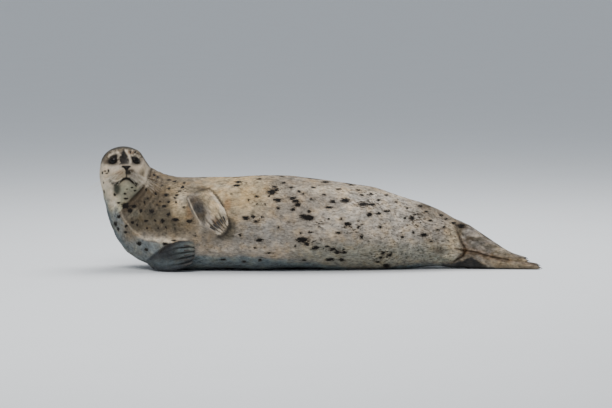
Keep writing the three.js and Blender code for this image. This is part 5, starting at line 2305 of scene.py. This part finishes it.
    def _mapped(self, region: Region, mesh: bpy.types.Mesh) -> None:
        """Adds the map that each tuft is a small patch of, and drops what only the tree read.

        Args:
            region: The piece's region.
            mesh: The piece's mesh.
        """
        names = ("local", "root", "side")
        local, roots, sides = (values_of(mesh.attributes[name].data, "vector", 3) for name in names)
        roots = FRAME.millimetres(roots)
        marks = self.markings.spots_at(roots, sides @ VIEW.axes[2])
        mesh.attributes["mark"].data.foreach_set("value", marks.astype(np.float32))
        at = self._unwrapped(region, roots, sides)
        spot = np.stack([local[:, 1] / self.width, local[:, 2] - 0.5], axis=1) * self.patch
        flat = self.margin + np.clip(at, 0, 1) * (1 - 2 * self.margin) + spot
        corners = values_of(mesh.loops, "vertex_index", kind=np.int64)
        layer = mesh.uv_layers.new(name="OFBake")
        layer.uv.foreach_set("vector", flat[corners].astype(np.float32).ravel())
        for name in ("comb", "side", "reach", "density", "local"):
            mesh.attributes.remove(mesh.attributes[name])

    def grow(self) -> list[bpy.types.Object]:
        """Makes every piece of the coat.

        Returns:
            One object a region.
        """
        tree = self.tree()
        where = self._where()
        mesh = self.markings.mesh
        first = values_of(mesh.polygons, "loop_start", kind=np.int64)
        corner = values_of(mesh.loops, "vertex_index", kind=np.int64)[first]
        density = values_of(mesh.attributes["density"].data, "value")[corner]
        wanted = values_of(mesh.polygons, "area") * density
        made = []
        for number, region in enumerate(Region):
            chosen = where[corner] == number
            expected = float(wanted[chosen].sum())
            fine = region in (Region.HEAD, Region.FORE_FLIPPERS, Region.HIND_FLIPPERS)
            segments, faces = (1, 4) if fine else (2, 10)
            growth = min(1.0, self.most / faces / max(expected, 1.0))
            helper = self._patch_of_skin(chosen)
            modifier = helper.modifiers.new("tufts", "NODES")
            modifier.node_group = tree
            values = {
                "Segments": segments, "Width": self.width, "Flatness": self.flatness,
                "Bend": 0.0 if fine else self.bend, "Sunk": self.sunk, "Shortest": self.shortest,
                "Longest": self.longest, "Jitter": self.jitter, "Thickness of growth": growth,
                "Seed": self.seed + number, "Finish": self.finish,
            }
            for item in tree.interface.items_tree:
                if item.in_out == "INPUT" and item.name in values:
                    modifier[item.identifier] = values[item.name]
            grown = baked(helper)
            grown.name = region.value
            self._mapped(region, grown)
            piece = linked(region.value, grown)
            LOG.info("%s: %d tufts wanted, share %.2f", region.value, expected, growth)
            made.append(piece)
        return made


# ------------------------------------------------ eyes, claws and whiskers


@dataclass(frozen=True)
class EyeBall:
    """A wet ball behind the lids, with the cornea standing a little proud."""

    rings: int = 36
    round: int = 56
    sunk: float = 0.25
    cornea: float = 0.7
    cornea_angle: float = 0.55

    def piece(self, eye: Eye, finish: bpy.types.Material) -> bpy.types.Object:
        """Makes one eye.

        Args:
            eye: Its place and the way it looks.
            finish: Its material.

        Returns:
            The eye as an object.
        """
        out, across, up = eye.axes
        ball = eye.radius - self.sunk
        places, angles = [], []
        for ring in range(1, self.rings):
            polar = math.pi * ring / self.rings
            reach = ball + self.cornea * math.exp(-((polar / self.cornea_angle) ** 2))
            for step in range(self.round):
                turn = 2 * math.pi * step / self.round * eye.side
                aside = across * math.cos(turn) + up * math.sin(turn)
                way = out * math.cos(polar) + math.sin(polar) * aside
                places.append(eye.centre + reach * way)
                angles.append(polar)
        places += [eye.centre + out * (ball + self.cornea), eye.centre - out * ball]
        angles += [0.0, math.pi]
        name = "eyeball_left" if eye.side > 0 else "eyeball_right"
        mesh = Shape(HEAD.out(np.array(places)), ringed(self.rings - 1, self.round)).mesh(name)
        outwards(mesh)
        mesh.attributes.new("ring", "FLOAT", "POINT").data.foreach_set("value", np.array(angles, np.float32))
        mesh.materials.append(finish)
        return linked(name, mesh)


def outwards(mesh: bpy.types.Mesh) -> None:
    """Turns a closed mesh's faces outwards."""
    with editing(mesh) as work:
        bmesh.ops.recalc_face_normals(work, faces=work.faces[:])


def ringed(rings: int, sides: int) -> list[Sequence[int]]:
    """The faces of a closed surface made of rings, whose two end points come after all the rings.

    Args:
        rings: How many rings there are.
        sides: How many places each has.

    Returns:
        The faces.
    """
    faces: list[Sequence[int]] = []
    last = (rings - 1) * sides
    for step in range(sides):
        after = (step + 1) % sides
        for ring in range(0, last, sides):
            faces.append((ring + step, ring + after, ring + after + sides, ring + step + sides))
        faces.append((last + sides, after, step))
        faces.append((last + sides + 1, last + step, last + after))
    return faces


def tube(path: Array, radii: Array, sides: int, flat: float = 1.0) -> tuple[Shape, Array]:
    """A closed tapering tube along a path.

    Args:
        path: Its middle line.
        radii: Its radius at each of the line's places.
        sides: How many sides it has.
        flat: Its thickness across as a share of its height.

    Returns:
        The tube, and how far along it each of its places is.
    """
    steps = np.gradient(path, axis=0)
    steps = unit(steps)
    over = unit(np.cross(steps, np.cross(steps[0] + 1e-6, (0.0, 0.0, 1.0)) + np.array((1e-6, 0, 0))))
    aside = np.cross(over, steps)
    turn = np.linspace(0, 2 * math.pi, sides, endpoint=False)
    rings = (
        path[:, None] + radii[:, None, None] * (
            over[:, None] * np.cos(turn)[None, :, None] + flat * aside[:, None] * np.sin(turn)[None, :, None]
        )
    )
    places = np.concatenate([rings.reshape(-1, 3), path[:1], path[-1:] + steps[-1:] * radii[-1]])
    share = np.concatenate([np.repeat(np.linspace(0, 1, len(path)), sides), [0.0, 1.0]])
    return Shape(places, ringed(len(path), sides)), share


def joined_tubes(name: str, tubes: list[tuple[Shape, Array]], finish: bpy.types.Material) -> bpy.types.Object:
    """Many tubes as one piece.

    Args:
        name: The piece's name.
        tubes: The tubes, with how far along each its places are.
        finish: Their material.

    Returns:
        The piece.
    """
    mesh = Shape.together(shape for shape, _ in tubes).mesh(name)
    outwards(mesh)
    along = np.concatenate([share for _, share in tubes]).astype(np.float32)
    mesh.attributes.new("along", "FLOAT", "POINT").data.foreach_set("value", along)
    mesh.materials.append(finish)
    return linked(name, mesh)


@dataclass(frozen=True)
class Claws:
    """Finely rounded claws in the places of the frame's own."""

    rings: int = 12
    sides: int = 12

    def piece(self, name: str, claws: list[bpy.types.Object], finish: bpy.types.Material) -> bpy.types.Object:
        """The claws of one flipper.

        Args:
            name: The piece's name.
            claws: The frame's claws.
            finish: Their material.

        Returns:
            The claws as one object.
        """
        return joined_tubes(name, [self._claw(Shape.of_object(claw)) for claw in claws], finish)

    def _claw(self, rough: Shape) -> tuple[Shape, Array]:
        """One claw along the middle of a rough one.

        Args:
            rough: The frame's claw.

        Returns:
            The finer claw as a tube.
        """
        places = rough.places
        middle = places.mean(axis=0)
        _, _, ways = np.linalg.svd(places - middle)
        along = (places - middle) @ ways[0]
        order = np.argsort(along)
        ends = [places[order[:5]], places[order[-5:]]]
        spread = [np.linalg.norm(end - end.mean(axis=0), axis=1).mean() for end in ends]
        thick, thin = (0, 1) if spread[0] > spread[1] else (1, 0)
        start, stop = ends[thick].mean(axis=0), ends[thin].mean(axis=0)
        axis = unit(stop - start)
        length = float(np.linalg.norm(stop - start))
        share = (places - start) @ axis / length
        rest = places - start - np.outer(share * length, axis)
        curve = [np.polyfit(share, rest[:, k], 2) for k in range(3)]
        t = np.linspace(0.0, 1.0, self.rings)
        sway = np.stack([np.polyval(c, t) - np.polyval(c, 0) for c in curve], axis=1)
        path = start + np.outer(t * length, axis) + sway
        radii = spread[thick] * np.sqrt(np.clip(1 - 0.96 * t ** 1.7, 0.02, 1))
        return tube(path, radii, self.sides, 0.72)


@dataclass
class Whiskers:
    """Whiskers in rows on the muzzle, and a few long hairs over each eye."""

    skin: Skin
    face: Face
    base: float = 0.33
    tip: float = 0.12
    shortest: float = 24.0
    longest: float = 100.0
    brow_hairs: int = 4
    steps: int = 11
    sides: int = 5
    seed: int = 5

    def _root(self, tree: BVHTree, left: float, up: float) -> Array | None:
        """The skin's place straight behind a place in front of the face."""
        hit = tree.ray_cast(Vector(HEAD.out((260.0, left, up))), Vector(-HEAD.axes[0]))
        return None if hit[0] is None else np.array(hit[0])

    def piece(self, finish: bpy.types.Material) -> bpy.types.Object:
        """Makes all the whiskers.

        Args:
            finish: Their material.

        Returns:
            The whiskers as one object.
        """
        mesh = self.skin.mesh
        tree = BVHTree.FromPolygons(places_of(mesh).tolist(), [tuple(p.vertices) for p in mesh.polygons])
        rng = np.random.default_rng(self.seed)
        made = []
        for side in (-1, 1):
            for left, up in self.face.follicles():
                back = (left - self.face.pad_start) / self.face.pad_width
                length = self.shortest + (self.longest - self.shortest) * back ** 0.8
                length *= rng.uniform(0.8, 1.15)
                start = np.array((0.55 - 0.5 * back, side * (0.55 + 0.5 * back), rng.uniform(-0.75, -0.1)))
                droop = np.array((-0.25 - 0.3 * back, side * 0.05, -0.42))
                made.append(self._hair(tree, side * left, up, start, droop, length, rng))
            for place in range(self.brow_hairs):
                left, up = 30.0 + 5.0 * place, 38.0 + 2.0 * (place % 2)
                start = np.array((0.5, side * (0.1 + 0.12 * place), 0.7))
                droop = np.array((-0.3, side * 0.25, -0.25))
                made.append(self._hair(tree, side * left, up, start, droop, rng.uniform(22, 34), rng))
        return joined_tubes("whiskers", [hair for hair in made if hair], finish)

    def _hair(
        self, tree: BVHTree, left: float, up: float, start: Array, droop: Array, length: float,
        rng: np.random.Generator,
    ) -> tuple[Shape, Array] | None:
        """One whisker from its root.

        Args:
            tree: The skin.
            left: The root's place to the left of the nose.
            up: Its height in the head's frame.
            start: The way it sets out.
            droop: The way it bends.
            length: Millimetres.
            rng: Where chance comes from.

        Returns:
            The whisker as a tube, or nothing where it misses the skin.
        """
        root = self._root(tree, left, up)
        if root is None:
            return None
        first = unit(unit(start) + rng.normal(scale=0.06, size=3)) @ HEAD.axes
        bend = droop @ HEAD.axes
        t = np.linspace(0.0, 1.0, self.steps)
        path = root - 1.2 * first + length * (np.outer(t, first) + 0.55 * np.outer(t * t, bend))
        radii = (self.base * (1 - t) + self.tip * t) * (1 + 0.12 * np.cos(t * length * 0.9))
        return tube(path, radii, self.sides, 0.7)


# ------------------------------------------------ the studio


@dataclass(frozen=True)
class Lamp:
    """A soft square light that points at the animal."""

    name: str
    place: tuple[float, float, float]
    size: float
    watts: float
    colour: Colour
    aim: tuple[float, float, float] = (-0.05, 0.0, 0.2)

    def light(self) -> bpy.types.Object:
        """Puts the light in the scene.

        Returns:
            The light.
        """
        data = bpy.data.lights.new(self.name, "AREA")
        data.size, data.energy, data.color = self.size, self.watts, self.colour
        lamp = bpy.data.objects.new(self.name, data)
        lamp.location = self.place
        way = Vector(self.aim) - Vector(self.place)
        lamp.rotation_euler = way.to_track_quat("-Z", "Y").to_euler()
        bpy.context.scene.collection.objects.link(lamp)
        return lamp


@dataclass(frozen=True)
class Studio:
    """A pale floor under soft light from above."""

    half: float = 45.0
    sky: Colour = (0.80, 0.86, 0.93)
    sky_strength: float = 0.62
    lamps: tuple[Lamp, ...] = (
        Lamp("key", (-1.6, -3.4, 4.6), 3.2, 240.0, (1.0, 0.975, 0.94)),
        Lamp("top", (0.6, 1.2, 4.2), 3.0, 200.0, (1.0, 0.99, 0.975)),
    )

    def build(self) -> None:
        """Makes the floor, the sky and the lights."""
        mesh = bpy.data.meshes.new("floor")
        side = self.half
        corners = [(-side, -side, 0), (side, -side, 0), (side, side, 0), (-side, side, 0)]
        mesh.from_pydata(corners, [], [(0, 1, 2, 3)])
        mesh.materials.append(Ground().material())
        linked("floor", mesh)
        world = bpy.data.worlds.new("sky")
        world.use_nodes = True
        ground = world.node_tree.nodes["Background"]
        ground.inputs["Color"].default_value = (*self.sky, 1.0)
        ground.inputs["Strength"].default_value = self.sky_strength
        bpy.context.scene.world = world
        for lamp in self.lamps:
            lamp.light()


# ------------------------------------------------ the whole animal


def ridden(piece: bpy.types.Object, replaced: Sequence[str] = ()) -> None:
    """Puts a piece above the floor and on the animal's one body, and reports it.

    Args:
        piece: The piece.
        replaced: The frame's solids that it stands for.
    """
    places = places_of(piece.data)
    places[:, 2] = np.maximum(places[:, 2], 0.05)
    put_places(piece.data, places)
    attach(piece, "root")
    if replaced:
        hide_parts(*replaced)
    LOG.info("%s: %d faces", piece.name, len(piece.data.polygons))


def main() -> None:
    """Builds the animal on its frame."""
    logging.basicConfig(level=logging.INFO, format="%(name)s: %(message)s")
    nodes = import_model()["nodes"]
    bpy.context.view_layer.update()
    VIEW.camera()
    Studio().build()
    skin = Skin(nodes)
    sculptor = Sculptor(skin)
    sculptor.carve()
    markings = Markings(sculptor)
    markings.keep()
    coat = Coat(markings, Pelt("coat_tufts", bump=False).material())
    for piece in coat.grow():
        ridden(piece)
    skin.mesh.materials.append(Pelt("coat_skin", bump=True).material())
    hide = linked("skin", skin.mesh)
    ridden(hide, [part.value for part in FLESH_PARTS])
    iris = Iris().material()
    for eye in EYES:
        ridden(EyeBall().piece(eye, iris), ["eye_left" if eye.side > 0 else "eye_right"])
    horn = Horn().material()
    for limb in ("foreclaw_left", "foreclaw_right", "hindclaw_left", "hindclaw_right"):
        names = [f"{limb}_{digit}" for digit in range(1, 6)]
        ridden(Claws().piece(limb + "s", [nodes[name] for name in names], horn), names)
    ridden(Whiskers(skin, sculptor.face).piece(Bristle().material()))


if __name__ == "__main__":
    main()
